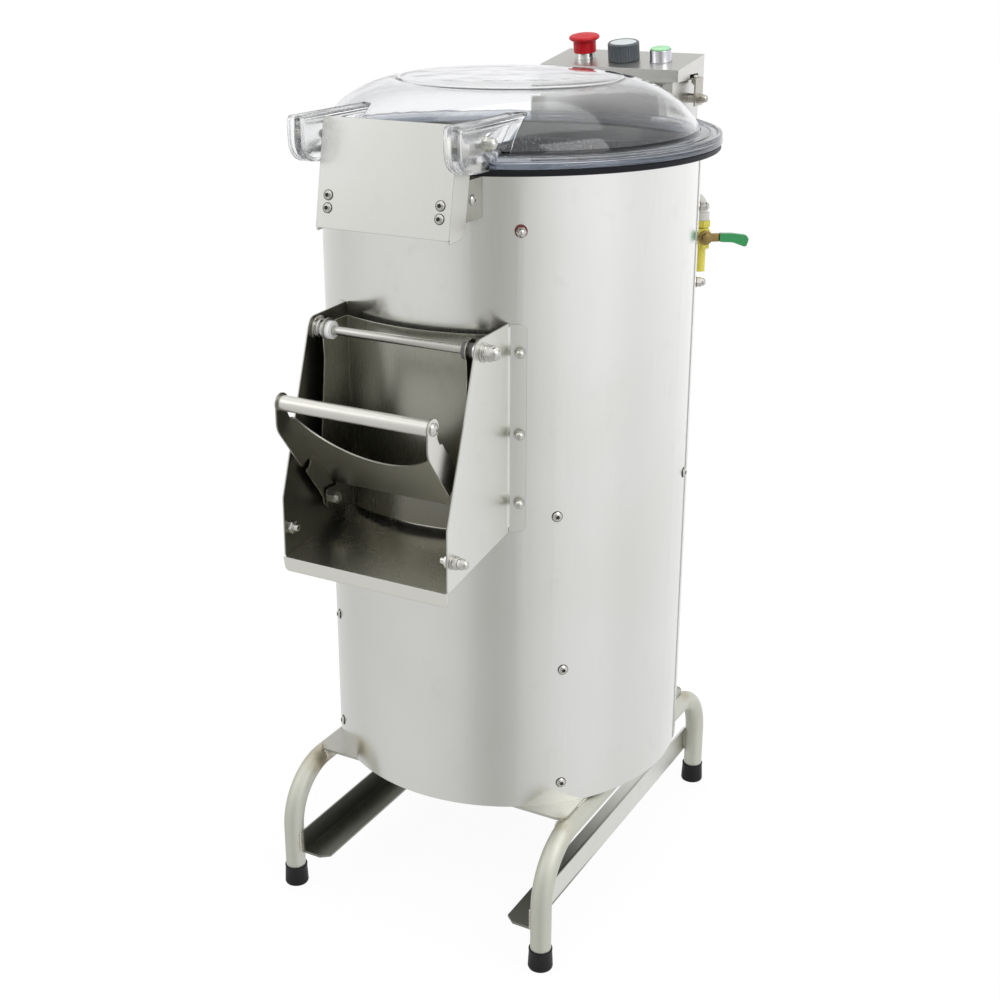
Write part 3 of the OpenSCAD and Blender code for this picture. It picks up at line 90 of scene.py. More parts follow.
def blendColor(tree, factor, a, b, how="MIX"):
    node = addNode(tree, "Mix", data_type="RGBA", blend_type=how)
    feed(tree, node.inputs[0], factor)
    feed(tree, node.inputs[6], a)
    feed(tree, node.inputs[7], b)
    return node.outputs[2]


# 0 below low, 1 above high, smooth between them
def span(tree, value, low, high):
    return addNode(tree, "MapRange", {"Value": value, "From Min": low, "From Max": high},
                   interpolation_type="SMOOTHSTEP").outputs[0]


def noise(tree, vector, scale, detail=2.0, rough=0.5):
    return addNode(tree, "TexNoise", {"Vector": vector, "Scale": scale, "Detail": detail,
                                      "Roughness": rough}).outputs[0]


def place(tree):
    return addNode(tree, "TexCoord").outputs["Object"]


def stretch(tree, vector, scale, turn=(0, 0, 0)):
    return addNode(tree, "Mapping", {"Vector": vector, "Scale": scale,
                                     "Rotation": [math.radians(v) for v in turn]}).outputs[0]


def axes(tree, vector):
    return addNode(tree, "SeparateXYZ", {0: vector}).outputs


def rgba(color):
    return (color[0], color[1], color[2], 1.0)


def newGroup(name, wanted, given):
    tree = bpy.data.node_groups.new(name, "ShaderNodeTree")
    for label, kind, value in wanted:
        socket = tree.interface.new_socket(label, in_out="INPUT", socket_type="NodeSocket" + kind)
        if value is not None:
            socket.default_value = value
    for label, kind in given:
        tree.interface.new_socket(label, in_out="OUTPUT", socket_type="NodeSocket" + kind)
    inside = tree.nodes.new("NodeGroupInput")
    outside = tree.nodes.new("NodeGroupOutput")
    return tree, inside.outputs, outside.inputs


def useGroup(tree, group, sockets):
    node = tree.nodes.new("ShaderNodeGroup")
    node.node_tree = group
    for key, value in sockets.items():
        feed(tree, node.inputs[key], value)
    return node.outputs


# effects that several materials share


# sheet steel: fine ground lines, faint patches of handling, slow unevenness
def makeSteelFinish():
    tree, given, out = newGroup("steelFinish",
                                [("Grain", "Vector", None), ("Color", "Color", None),
                                 ("Roughness", "Float", 0.3), ("Contrast", "Float", 0.1)],
                                [("Color", "Color"), ("Roughness", "Float"), ("Height", "Float")])
    spot = place(tree)
    lines = noise(tree, given["Grain"], 1.0, 4.0, 0.68)
    patches = span(tree, noise(tree, spot, 5.0, 2.0), 0.35, 0.68)
    marks = span(tree, noise(tree, spot, 34.0, 4.0, 0.62), 0.56, 0.74)
    swing = calc(tree, "MULTIPLY", calc(tree, "SUBTRACT", lines, 0.5), given["Contrast"])
    tone = calc(tree, "ADD", 1.0, swing)
    tone = calc(tree, "SUBTRACT", tone, calc(tree, "MULTIPLY", marks, 0.025))
    tone = calc(tree, "SUBTRACT", tone, calc(tree, "MULTIPLY", patches, 0.035))
    blue = calc(tree, "SUBTRACT", tone, calc(tree, "MULTIPLY", patches, 0.012))
    grey = addNode(tree, "CombineColor", {0: tone, 1: tone, 2: blue})
    feed(tree, out["Color"], blendColor(tree, 1.0, given["Color"], grey.outputs[0], "MULTIPLY"))
    rough = calc(tree, "ADD", given["Roughness"], calc(tree, "MULTIPLY", swing, 0.9))
    rough = calc(tree, "ADD", rough, calc(tree, "MULTIPLY", patches, 0.04))
    feed(tree, out["Roughness"], calc(tree, "ADD", rough, calc(tree, "MULTIPLY", marks, 0.05)))
    feed(tree, out["Height"], lines)
    return tree


# moulded plastic and rubber: fine pebble, slow unevenness, dust in patches
def makeMouldedFinish():
    tree, given, out = newGroup("mouldedFinish",
                                [("Color", "Color", None), ("Dust Color", "Color", None),
                                 ("Roughness", "Float", 0.4), ("Dust", "Float", 0.1),
                                 ("Pebble", "Float", 900.0)],
                                [("Color", "Color"), ("Roughness", "Float"), ("Height", "Float")])
    spot = place(tree)
    fine = noise(tree, spot, given["Pebble"], 2.0, 0.6)
    slow = noise(tree, spot, 45.0, 3.0, 0.55)
    dust = calc(tree, "MULTIPLY", span(tree, slow, 0.45, 0.75), given["Dust"])
    feed(tree, out["Color"], blendColor(tree, dust, given["Color"], given["Dust Color"]))
    rough = given["Roughness"]
    for grain, share in ((slow, 0.18), (fine, 0.06)):
        rough = calc(tree, "ADD", rough, calc(tree, "MULTIPLY", calc(tree, "SUBTRACT", grain, 0.5), share))
    feed(tree, out["Roughness"], rough)
    feed(tree, out["Height"], fine)
    return tree


# heat colours round a weld: straw, brown and a grey halo
def makeWeldTint():
    tree, given, out = newGroup("weldTint", [("Color", "Color", None), ("Point", "Vector", None),
                                             ("Reach", "Float", 0.04)], [("Color", "Color")])
    spot = place(tree)
    far = addNode(tree, "VectorMath", {0: spot, 1: given["Point"]}, operation="DISTANCE").outputs["Value"]
    wander = calc(tree, "SUBTRACT", noise(tree, spot, 70.0, 3.0), 0.5)
    far = calc(tree, "ADD", far, calc(tree, "MULTIPLY", wander, 0.02))
    share = calc(tree, "DIVIDE", far, given["Reach"])
    straw = calc(tree, "SUBTRACT", 1.0, span(tree, share, 0.35, 1.0))
    brown = calc(tree, "SUBTRACT", 1.0, span(tree, share, 0.1, 0.55))
    warm = blendColor(tree, calc(tree, "MULTIPLY", straw, 0.75), given["Color"], (0.50, 0.46, 0.34, 1.0))
    burnt = blendColor(tree, calc(tree, "MULTIPLY", brown, 0.75), warm, (0.22, 0.19, 0.13, 1.0))
    feed(tree, out["Color"], burnt)
    return tree


# grit bonded in resin
def makeGritFinish():
    tree, given, out = newGroup("gritFinish", [("Color", "Color", None), ("Grain", "Float", 700.0)],
                                [("Color", "Color"), ("Roughness", "Float"), ("Height", "Float")])
    spot = place(tree)
    cells = addNode(tree, "TexVoronoi", {"Vector": spot, "Scale": given["Grain"], "Randomness": 1.0})
    tumble = noise(tree, spot, 260.0, 3.0, 0.7)
    worn = span(tree, noise(tree, spot, 11.0, 2.0), 0.42, 0.7)
    sparkle = span(tree, axes(tree, cells.outputs["Color"])[0], 0.82, 1.0)
    shade = blendColor(tree, calc(tree, "MULTIPLY", tumble, 0.7), given["Color"], (0.09, 0.09, 0.095, 1.0))
    shade = blendColor(tree, calc(tree, "MULTIPLY", sparkle, 0.5), shade, (0.62, 0.62, 0.63, 1.0))
    shade = blendColor(tree, calc(tree, "MULTIPLY", worn, 0.35), shade, (0.36, 0.35, 0.33, 1.0))
    feed(tree, out["Color"], shade)
    feed(tree, out["Roughness"], calc(tree, "SUBTRACT", 0.85, calc(tree, "MULTIPLY", sparkle, 0.4)))
    height = calc(tree, "ADD", cells.outputs["Distance"], calc(tree, "MULTIPLY", tumble, 0.8))
    feed(tree, out["Height"], height)
    return tree


# narrow band along sharp edges, from the turn between the true and the rounded normal
def makeEdgeBand():
    tree, given, out = newGroup("edgeBand", [("Radius", "Float", 0.001)], [("Mask", "Float")])
    soft = addNode(tree, "Bevel", {"Radius": given["Radius"]}, samples=4).outputs[0]
    plain = addNode(tree, "NewGeometry").outputs["Normal"]
    likeness = addNode(tree, "VectorMath", {0: soft, 1: plain}, operation="DOT_PRODUCT").outputs["Value"]
    feed(tree, out["Mask"], span(tree, calc(tree, "SUBTRACT", 1.0, likeness), 0.01, 0.16))
    return tree


steelFinish = makeSteelFinish()
edgeBand = makeEdgeBand()
mouldedFinish = makeMouldedFinish()
weldTint = makeWeldTint()
gritFinish = makeGritFinish()
print("scene: shared effects made")

# materials


def startMaterial(name):
    material = bpy.data.materials.new(name)
    material.use_nodes = True
    tree = material.node_tree
    tree.nodes.clear()
    shader = addNode(tree, "BsdfPrincipled")
    output = addNode(tree, "OutputMaterial")
    tree.links.new(shader.outputs[0], output.inputs["Surface"])
    return material, tree, shader, output


# rounded edges first, then slow waves, then the fine relief on top
def relief(tree, shader, fine, fineDepth, edge=0.0005, slow=None, slowDepth=0.0):
    normal = addNode(tree, "Bevel", {"Radius": edge}, samples=4).outputs[0]
    if slow is not None:
        normal = addNode(tree, "Bump", {"Strength": 1.0, "Distance": slowDepth, "Height": slow,
                                        "Normal": normal}).outputs[0]
    normal = addNode(tree, "Bump", {"Strength": 1.0, "Distance": fineDepth, "Height": fine,
                                    "Normal": normal}).outputs[0]
    tree.links.new(normal, shader.inputs["Normal"])


def steelMaterial(name, look):
    material, tree, shader, output = startMaterial(name)
    spot = place(tree)
    color = rgba(look["color"])
    # painted shading: darker zones, or on the tray a lighter lip, coloured onto the piece where shade and
    # light fall
    if "paintedShading" in look:
        color = look["paintedShading"](tree, spot, color)
    grain = stretch(tree, spot, look["grain"])
    finish = useGroup(tree, steelFinish, {"Grain": grain, "Color": color, "Roughness": look["roughness"],
                                          "Contrast": look.get("contrast", 0.12)})
    color = finish["Color"]
    if "rim" in look:
        rim = look["rim"]
        band = useGroup(tree, edgeBand, {"Radius": rim["width"]})["Mask"]
        color = blendColor(tree, calc(tree, "MULTIPLY", band, rim["share"]), color, rgba(rim["color"]))
    for point, reach in look.get("welds", []):
        color = useGroup(tree, weldTint, {"Color": color, "Point": point, "Reach": reach})["Color"]
    feed(tree, shader.inputs["Base Color"], color)
    feed(tree, shader.inputs["Roughness"], finish["Roughness"])
    shader.inputs["Metallic"].default_value = 1.0
    slow = noise(tree, stretch(tree, spot, look.get("waveScale", (5, 5, 3))), 1.0, 2.0, 0.45)
    relief(tree, shader, finish["Height"], look.get("fineDepth", 0.00002), look.get("edge", 0.0005),
           slow, look.get("waveDepth", 0.0005))
    return material


def mouldedMaterial(name, look):
    material, tree, shader, output = startMaterial(name)
    color = rgba(look["color"])
    # painted shade: the piece's right-hand side (x above 0) is coloured dark
    if "paintedShadeRight" in look:
        right = span(tree, axes(tree, place(tree))[0], -0.001, 0.001)
        color = blendColor(tree, right, color, rgba(look["paintedShadeRight"]))
    dustColor = rgba(look.get("dustColor", (0.35, 0.34, 0.32)))
    finish = useGroup(tree, mouldedFinish, {"Color": color, "Dust Color": dustColor,
                                            "Roughness": look["roughness"], "Dust": look.get("dust", 0.06),
                                            "Pebble": look.get("pebble", 900.0)})
    feed(tree, shader.inputs["Base Color"], finish["Color"])
    feed(tree, shader.inputs["Roughness"], finish["Roughness"])
    if "coat" in look:
        shader.inputs["Coat Weight"].default_value = look["coat"]
        shader.inputs["Coat Roughness"].default_value = 0.08
    if "softness" in look:
        shader.inputs["Subsurface Weight"].default_value = look["softness"]
        shader.inputs["Subsurface Scale"].default_value = 0.002
    shader.inputs["Specular IOR Level"].default_value = look.get("shine", 0.5)
    relief(tree, shader, finish["Height"], look.get("depth", 0.00003), look.get("edge", 0.0005))
    return material


# painted shade: darker where a sheet faces the middle of the machine: chute sides, lever arms and rails
def innerFace(limit, dark):
    def paint(tree, spot, color):
        side = addNode(tree, "Math", {0: axes(tree, spot)[0]}, operation="ABSOLUTE").outputs[0]
        return blendColor(tree, span(tree, side, limit - 0.0006, limit + 0.0006), rgba(dark), color)
    return paint


# painted light: the tray's folded front lip is coloured lighter than the tray behind it
def frontLip(limit, light):
    def paint(tree, spot, color):
        behind = span(tree, axes(tree, spot)[1], limit - 0.0005, limit + 0.0005)
        return blendColor(tree, behind, rgba(light), color)
    return paint


# painted shade on the rails: dark inside, the lower flange a shade lighter, the right rail plain towards the
# back
def railInside(limit, dark, lighter, fold):
    inner = innerFace(limit, dark)

    def paint(tree, spot, color):
        lying = span(tree, axes(tree, spot)[2], fold + 0.0008, fold - 0.0002)
        shown = blendColor(tree, lying, inner(tree, spot, color), rgba(lighter))
        right = calc(tree, "MULTIPLY", span(tree, axes(tree, spot)[0], -0.01, 0.01),
                     span(tree, axes(tree, spot)[1], -0.15, -0.04))
        return blendColor(tree, right, shown, color)
    return paint


# front of the electrics box, painted shade: darker towards the right behind the lid
def boxFront(limit, dark):
    def paint(tree, spot, color):
        front = calc(tree, "SUBTRACT", 1.0, span(tree, axes(tree, spot)[1], limit - 0.002, limit))
        share = calc(tree, "MULTIPLY", front, span(tree, axes(tree, spot)[0], -0.085, -0.01))
        return blendColor(tree, share, color, rgba(dark))
    return paint


# door sheet, painted shade: lighter at the top, dark behind the lever
def doorShade(low, high, dark):
    def paint(tree, spot, color):
        height = calc(tree, "ADD", axes(tree, spot)[2], calc(tree, "MULTIPLY", noise(tree, spot, 9.0), 0.04))
        return blendColor(tree, span(tree, height, low, high), rgba(dark), color)
    return paint


upright = (1500, 1500, 22)
acrossX = (22, 1500, 1500)
cutEdge = {"width": 0.0011, "share": 0.6, "color": (0.14, 0.135, 0.11)}

steelLooks = {
    "drumSteel": {"color": (0.80, 0.80, 0.775), "roughness": 0.19, "grain": upright, "contrast": 0.09,
                  "fineDepth": 0.000012, "waveDepth": 0.0008, "waveScale": (7, 7, 1.6)},
    "boxSteel": {"color": (0.72, 0.72, 0.695), "roughness": 0.30, "grain": upright,
                 "paintedShading": boxFront(0.262, (0.30, 0.30, 0.28))},
    "panelSteel": {"color": (0.68, 0.675, 0.65), "roughness": 0.27, "grain": acrossX, "waveDepth": 0.0003},
    "bracketSteel": {"color": (0.73, 0.73, 0.70), "roughness": 0.34, "grain": upright, "rim": cutEdge,
                     "waveDepth": 0.0003, "edge": 0.0008},
    "angleSteel": {"color": (0.46, 0.46, 0.42), "roughness": 0.33, "grain": upright, "rim": cutEdge},
    "sideSteel": {"color": (0.78, 0.785, 0.75), "roughness": 0.32, "grain": upright, "rim": cutEdge,
                  "paintedShading": innerFace(0.1035, (0.23, 0.225, 0.19))},
    "traySteel": {"color": (0.74, 0.73, 0.655), "roughness": 0.26, "grain": (1500, 30, 1500),
                  "contrast": 0.05, "paintedShading": frontLip(-0.3284, (0.80, 0.80, 0.74))},
    # the door's steel is coloured dark all over, a painted shade
    "doorSteel": {"color": (0.38, 0.38, 0.33), "roughness": 0.26, "grain": upright, "contrast": 0.18,
                  "paintedShading": doorShade(0.58, 0.69, (0.20, 0.195, 0.165))},
    "leverSteel": {"color": (0.78, 0.775, 0.72), "roughness": 0.33, "grain": acrossX, "rim": cutEdge,
                   "paintedShading": innerFace(0.0936, (0.30, 0.295, 0.26))},
    "gripSteel": {"color": (0.72, 0.71, 0.66), "roughness": 0.34, "grain": (1500, 60, 60), "contrast": 0.2},
    "tubeSteel": {"color": (0.645, 0.65, 0.58), "roughness": 0.55, "grain": (700, 700, 700), "contrast": 0.22,
                  "fineDepth": 0.00004, "waveDepth": 0.0005, "waveScale": (25, 25, 25),
                  "welds": [((-0.166, -0.192, 0.152), 0.030), ((0.168, -0.186, 0.150), 0.024),
                            ((-0.168, 0.176, 0.152), 0.026), ((0.168, 0.176, 0.152), 0.026),
                            ((-0.163, -0.238, 0.062), 0.016), ((0.163, -0.238, 0.062), 0.016)]},
    "plateSteel": {"color": (0.56, 0.56, 0.52), "roughness": 0.36, "grain": (900, 25, 900), "rim": cutEdge,
                   "welds": [((-0.172, -0.186, 0.166), 0.012), ((0.174, -0.186, 0.166), 0.008),
                             ((-0.172, 0.186, 0.166), 0.010), ((0.172, 0.186, 0.166), 0.010)]},
    "railSteel": {"color": (0.76, 0.76, 0.72), "roughness": 0.36, "grain": (900, 22, 900), "contrast": 0.25,
                  "rim": cutEdge,
                  "paintedShading": railInside(0.1622, (0.12, 0.12, 0.105), (0.27, 0.27, 0.24), 0.049)},
    "innerSteel": {"color": (0.60, 0.60, 0.58), "roughness": 0.38, "grain": upright},
    "boltSteel": {"color": (0.60, 0.595, 0.56), "roughness": 0.20, "grain": (500, 500, 500), "contrast": 0.15,
                  "edge": 0.0004, "waveDepth": 0.0001},
    "rodSteel": {"color": (0.52, 0.515, 0.48), "roughness": 0.26, "grain": (2500, 80, 80), "contrast": 0.2},
    "strapSteel": {"color": (0.52, 0.50, 0.45), "roughness": 0.3, "grain": upright},
    "brass": {"color": (0.30, 0.215, 0.085), "roughness": 0.3, "grain": (900, 900, 900), "contrast": 0.4,
              "waveDepth": 0.0001, "edge": 0.0004},
    "chrome": {"color": (0.82, 0.82, 0.83), "roughness": 0.08, "grain": (300, 300, 300), "contrast": 0.04,
               "fineDepth": 0.000001, "waveDepth": 0.00001},
    "castIron": {"color": (0.30, 0.31, 0.32), "roughness": 0.55, "grain": (600, 600, 600), "contrast": 0.4,
                 "fineDepth": 0.00012},
    "pearlChrome": {"color": (0.64, 0.64, 0.68), "roughness": 0.16, "grain": (90, 90, 90), "contrast": 0.03,
                    "fineDepth": 0.000001, "waveDepth": 0.00001},
    "weldSteel": {"color": (0.66, 0.64, 0.57), "roughness": 0.30, "grain": (1400, 1400, 1400),
                  "contrast": 0.35, "fineDepth": 0.00008, "waveDepth": 0.0001},
}
mouldedLooks = {
    "motorPaint": {"color": (0.13, 0.17, 0.21), "roughness": 0.42, "dust": 0.25, "pebble": 450.0,
                   "depth": 0.00005},
    "footRubber": {"color": (0.012, 0.012, 0.013), "roughness": 0.48, "dust": 0.10,
                   "dustColor": (0.05, 0.05, 0.05), "pebble": 700.0, "depth": 0.00005, "shine": 0.18},
    "sealRubber": {"color": (0.008, 0.0085, 0.011), "roughness": 0.42, "dust": 0.06,
                   "dustColor": (0.04, 0.04, 0.05), "shine": 0.15},
    # painted shade for the screw sockets and the lines round the heads
    "paintedSocketShade": {"color": (0.022, 0.020, 0.018), "roughness": 0.6, "shine": 0.2},
    "beltRubber": {"color": (0.02, 0.02, 0.02), "roughness": 0.7, "dust": 0.3,
                   "dustColor": (0.09, 0.09, 0.085)},
    "redPlastic": {"color": (0.50, 0.006, 0.014), "roughness": 0.40, "dust": 0.04, "shine": 0.3,
                   "dustColor": (0.60, 0.12, 0.12)},
    "washerRubber": {"color": (0.16, 0.020, 0.016), "roughness": 0.5},
    "knobPlastic": {"color": (0.085, 0.098, 0.112), "roughness": 0.42, "dust": 0.12},
    "capPlastic": {"color": (0.56, 0.60, 0.60), "roughness": 0.36, "dust": 0.05},
    # the right door bushing is coloured dark, a painted shade
    "whitePlastic": {"color": (0.80, 0.80, 0.79), "roughness": 0.30, "coat": 0.3,
                     "paintedShadeRight": (0.10, 0.098, 0.09), "dustColor": (0.62, 0.60, 0.55), "softness": 0.05},
    "greenPlastic": {"color": (0.32, 0.68, 0.36), "roughness": 0.22, "coat": 0.5, "softness": 0.2,
                     "dustColor": (0.55, 0.8, 0.6)},
    "leverGreen": {"color": (0.012, 0.24, 0.065), "roughness": 0.35, "coat": 0.2,
                   "dustColor": (0.10, 0.38, 0.18)},
    "valveYellow": {"color": (0.62, 0.55, 0.06), "roughness": 0.33, "coat": 0.25,
                    "dustColor": (0.55, 0.44, 0.06), "dust": 0.2},
    "elbowPlastic": {"color": (0.55, 0.54, 0.50), "roughness": 0.40, "dust": 0.15},
}
materials = {name: steelMaterial(name, look) for name, look in steelLooks.items()}
for name, look in mouldedLooks.items():
    materials[name] = mouldedMaterial(name, look)


# abrasive lining and disc
def gritMaterial(name, look):
    material, tree, shader, output = startMaterial(name)
    finish = useGroup(tree, gritFinish, {"Color": rgba(look["color"]), "Grain": look["grain"]})
    feed(tree, shader.inputs["Base Color"], finish["Color"])
    feed(tree, shader.inputs["Roughness"], finish["Roughness"])
    relief(tree, shader, finish["Height"], look["depth"], 0.0008)
    return material


# clear moulded lid: light passes straight through it on the way to what it covers
def clearMaterial(name, look):
    material, tree, shader, output = startMaterial(name)
    spot = place(tree)
    depth, height, front = axes(tree, spot)[1], axes(tree, spot)[2], look["frostFrom"]
    # painted shade: below the flange top, except at the front, the clear lid is tinted dark
    low = calc(tree, "SUBTRACT", 1.0, span(tree, height, look["flangeTop"], look["flangeTop"] + 0.002))
    shadedFlange = calc(tree, "MULTIPLY", low, span(tree, depth, front, front + 0.02))
    color = blendColor(tree, shadedFlange, rgba(look["color"]), rgba(look["flange"]))
    feed(tree, shader.inputs["Base Color"], color)
    shader.inputs["Transmission Weight"].default_value = 1.0
    shader.inputs["IOR"].default_value = look["bend"]
    haze = span(tree, noise(tree, spot, 9.0, 3.0, 0.6), 0.45, 0.8)
    scuffs = span(tree, noise(tree, stretch(tree, spot, (60, 600, 600), (0, 0, 35)), 1.0, 3.0), 0.62, 0.72)
    frost = calc(tree, "SUBTRACT", 1.0, span(tree, depth, front, front + 0.03))
    rough = look["roughness"]
    for mask, share in ((haze, 0.02), (frost, 0.24), (scuffs, 0.05)):
        rough = calc(tree, "ADD", rough, calc(tree, "MULTIPLY", mask, share))
    feed(tree, shader.inputs["Roughness"], rough)
    relief(tree, shader, noise(tree, spot, 26.0, 2.0), look["flow"], 0.0008)
    path = addNode(tree, "LightPath").outputs
    straight = calc(tree, "MAXIMUM", path["Is Shadow Ray"], path["Is Diffuse Ray"])
    through = addNode(tree, "BsdfTransparent", {"Color": rgba(look["shade"])})
    mixed = addNode(tree, "MixShader", {0: straight, 1: shader.outputs[0], 2: through.outputs[0]})
    tree.links.new(mixed.outputs[0], output.inputs["Surface"])
    return material


gritLook = {"color": (0.05, 0.056, 0.066), "grain": 620.0, "depth": 0.0006}
# the "flange" colour is painted shade on the lid's flange
clearLook = {"color": (0.985, 0.99, 0.997), "bend": 1.42, "roughness": 0.012, "flow": 0.00012,
             "shade": (0.80, 0.81, 0.83), "frostFrom": -0.26, "flange": (0.42, 0.45, 0.50),
             "flangeTop": 0.9345}
materials["gritLining"] = gritMaterial("gritLining", gritLook)
materials["clearLid"] = clearMaterial("clearLid", clearLook)

wearing = {
    "drumSteel": ["drum_skin"],
    "boxSteel": ["electrics_box", "box_cover_plate", "box_mounts"],
    "strapSteel": ["box_straps"],
    "panelSteel": ["control_panel"],
    "bracketSteel": ["hinge_bracket"],
    "angleSteel": ["bracket_angles"],
    "sideSteel": ["chute_side_left", "chute_side_right"],
    "traySteel": ["chute_floor"],
    "doorSteel": ["discharge_door"],
    "leverSteel": ["door_lever"],
    "gripSteel": ["lever_grip"],
    "tubeSteel": ["leg_tube_left", "leg_tube_right"],
    "plateSteel": ["base_plate", "base_ring", "motor_shelf"],
    "railSteel": ["angle_rails"],
    "innerSteel": ["chamber_floor", "drain_stub", "rotor_shaft", "motor_shaft", "disc_nut"],
    "boltSteel": ["base_bolts", "liner_bolts", "skin_screws", "chute_nuts", "rod_nuts", "latch_studs",
                  "lever_pins", "grip_screws", "bracket_screws", "hinge_bolts", "bearings"],
    "rodSteel": ["door_rod"],
    "chrome": ["stop_body"],
    "castIron": ["bearing_housing", "driven_pulley", "motor_pulley"],
    "motorPaint": ["motor"],
    "footRubber": ["foot_caps"],
    "sealRubber": ["rim_seal", "shaft_seal", "door_seal"],
    "beltRubber": ["drive_belt"],
    "redPlastic": ["stop_head", "stop_stem"],
    "washerRubber": ["seal_washers"],
    "knobPlastic": ["timer_knob"],
    "whitePlastic": ["door_bushings"],
    "pearlChrome": ["start_bezel"],
    "greenPlastic": ["start_button"],
    "leverGreen": ["valve_lever"],
    "valveYellow": ["water_valve"],
    "elbowPlastic": ["spray_pipe"],
    "gritLining": ["chamber_liner", "abrasive_disc"],
    "clearLid": ["lid"],
}
for materialName, members in wearing.items():
    for member in members:
        slots = nodes[member].material_slots
        for slot in slots:
            slot.material = materials[materialName]
        if not slots:
            nodes[member].data.materials.append(materials[materialName])
missing = set(nodes) - {member for members in wearing.values() for member in members}
print("scene: materials on", len(nodes) - len(missing), "nodes, left over:", sorted(missing))

# new pieces


def finishPiece(mesh, name, materialName, body, sharp=38):
    data = bpy.data.meshes.new(name)
    mesh.to_mesh(data)
    mesh.free()
    data.materials.append(materials[materialName])
    data.polygons.foreach_set("use_smooth", [True] * len(data.polygons))
    data.set_sharp_from_angle(angle=math.radians(sharp))
    piece = bpy.data.objects.new(name, data)
    bpy.context.scene.collection.objects.link(piece)
    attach(piece, body)
    return piece


# turns an outline of (radius, height) points round the Z axis of its frame
def turned(mesh, outline, frameMatrix, steps=48):
    for vert in mesh.verts:
        vert.tag = True
    points = [mesh.verts.new((radius, 0, height)) for radius, height in outline]
    edges = [mesh.edges.new(pair) for pair in zip(points, points[1:])]
    made = bmesh.ops.spin(mesh, geom=points + edges, cent=(0, 0, 0), axis=(0, 0, 1), angle=2 * math.pi,
                          steps=steps, use_merge=True, use_duplicate=False)
    ring = {item for item in made["geom_last"] if isinstance(item, bmesh.types.BMVert)} | set(points)
    fresh = {vert for face in mesh.faces for vert in face.verts if not vert.tag}
    bmesh.ops.remove_doubles(mesh, verts=list(fresh | ring), dist=1e-6)
    fresh = [vert for vert in mesh.verts if not vert.tag]
    bmesh.ops.transform(mesh, matrix=frameMatrix, verts=fresh)
    for vert in fresh:
        vert.tag = True
    bmesh.ops.recalc_face_normals(mesh, faces=mesh.faces)


def bevelAround(mesh, verts, offset):
    edges = list({edge for vert in verts for edge in vert.link_edges})
    bmesh.ops.bevel(mesh, geom=edges, offset=offset, segments=2, affect="EDGES", profile=0.5, material=-1)


def addBar(mesh, size, middle):
    bar = bmesh.ops.create_cube(mesh, size=1.0)["verts"]
    bmesh.ops.scale(mesh, vec=size, verts=bar)
    bmesh.ops.translate(mesh, vec=middle, verts=bar)
    return bar


# rubber foot: rolled lip, slightly flared skirt, grooved tread edge
footLook = {"radius": 0.0149, "lip": 0.0138, "height": 0.0268, "bore": 0.0126, "floor": 0.0045,
            "inset": 0.015}


def makeFeet(look):
    low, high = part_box("foot_caps")
    r, h, lip, bore = look["radius"], look["height"], look["lip"], look["bore"]
    tread = [(0, 0.0006), (r * 0.45, 0.0006), (r * 0.5, 0), (r - 0.0022, 0), (r - 0.0006, 0.0006),
             (r, 0.0022)]
    skirt = [(r - 0.0002, 0.0052), (r - 0.0006, 0.0056), (r - 0.0002, 0.006), (r - 0.0004, 0.011)]
    rolled = [(lip, h - 0.003), (lip + 0.0004, h - 0.002), (lip + 0.0003, h - 0.0007), (lip - 0.0002, h)]
    inside = [(bore + 0.0002, h), (bore, h - 0.0006), (bore, look["floor"]), (0, look["floor"])]
    mesh = bmesh.new()
    for x in (low.x + look["inset"], high.x - look["inset"]):
        for y in (low.y + look["inset"], high.y - look["inset"]):
            turned(mesh, tread + skirt + rolled + inside, Matrix.Translation((x, y, 0)), 40)
    feet = finishPiece(mesh, "feet", "footRubber", "frame")
    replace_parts(feet, "foot_caps")


makeFeet(footLook)

# the sloping panel in front of the electrics box; its slope is in millimetres, "row" is along it
panelLook = {"frontEdge": (0, 0.265, 0.983), "rise": 14, "run": 87.5, "row": 0.04165}


# frame on the sloping panel's row of controls: Z stands square on it
def onPanel(x):
    slope = math.atan2(panelLook["rise"], panelLook["run"])
    return (Matrix.Translation(panelLook["frontEdge"]) @ Matrix.Rotation(slope, 4, "X")
            @ Matrix.Translation((x, panelLook["row"], 0)))


# pale insert in the top of the timer knob, with a raised pointer
knobCapLook = {"x": 0.004, "radius": 0.0172, "base": 0.0223, "rise": 0.0005,
               "pointer": (0.0016, 0.012, 0.0006), "pointerInset": 0.001, "chamfer": 0.0002}


def makeKnobCap(look):
    r, z0, z1 = look["radius"], look["base"], look["base"] + look["rise"]
    mesh = bmesh.new()
    turned(mesh, [(0, z1), (r - 0.0012, z1), (r - 0.0003, z1 - 0.0001), (r, z1 - 0.0003), (r, z0), (0, z0)],
           onPanel(look["x"]), 64)
    bar = addBar(mesh, look["pointer"], (0, -r + look["pointerInset"] + look["pointer"][1] / 2, z1))
    bmesh.ops.transform(mesh, matrix=onPanel(look["x"]), verts=bar)
    bevelAround(mesh, bar, look["chamfer"])
    finishPiece(mesh, "knobCap", "capPlastic", "timer")


makeKnobCap(knobCapLook)


# weld: overlapping drops along a line, each flattened on its seam
def layWeld(mesh, points, radius, pitch=0.0016):
    for a, b in zip(points, points[1:]):
        a, b = Vector(a), Vector(b)
        count = max(1, round((b - a).length / pitch))
        along = (b - a).to_track_quat("X", "Z").to_matrix().to_4x4()
        for i in range(count):
            wobble = 1 + 0.16 * math.sin(i * 2.3 + a.x * 900)
            spot = Matrix.Translation(a.lerp(b, (i + 0.5) / count)) @ along
            bmesh.ops.create_icosphere(mesh, subdivisions=2, radius=radius * wobble,
                                       matrix=spot @ Matrix.Diagonal((0.75, 1.0, 0.85, 1)))


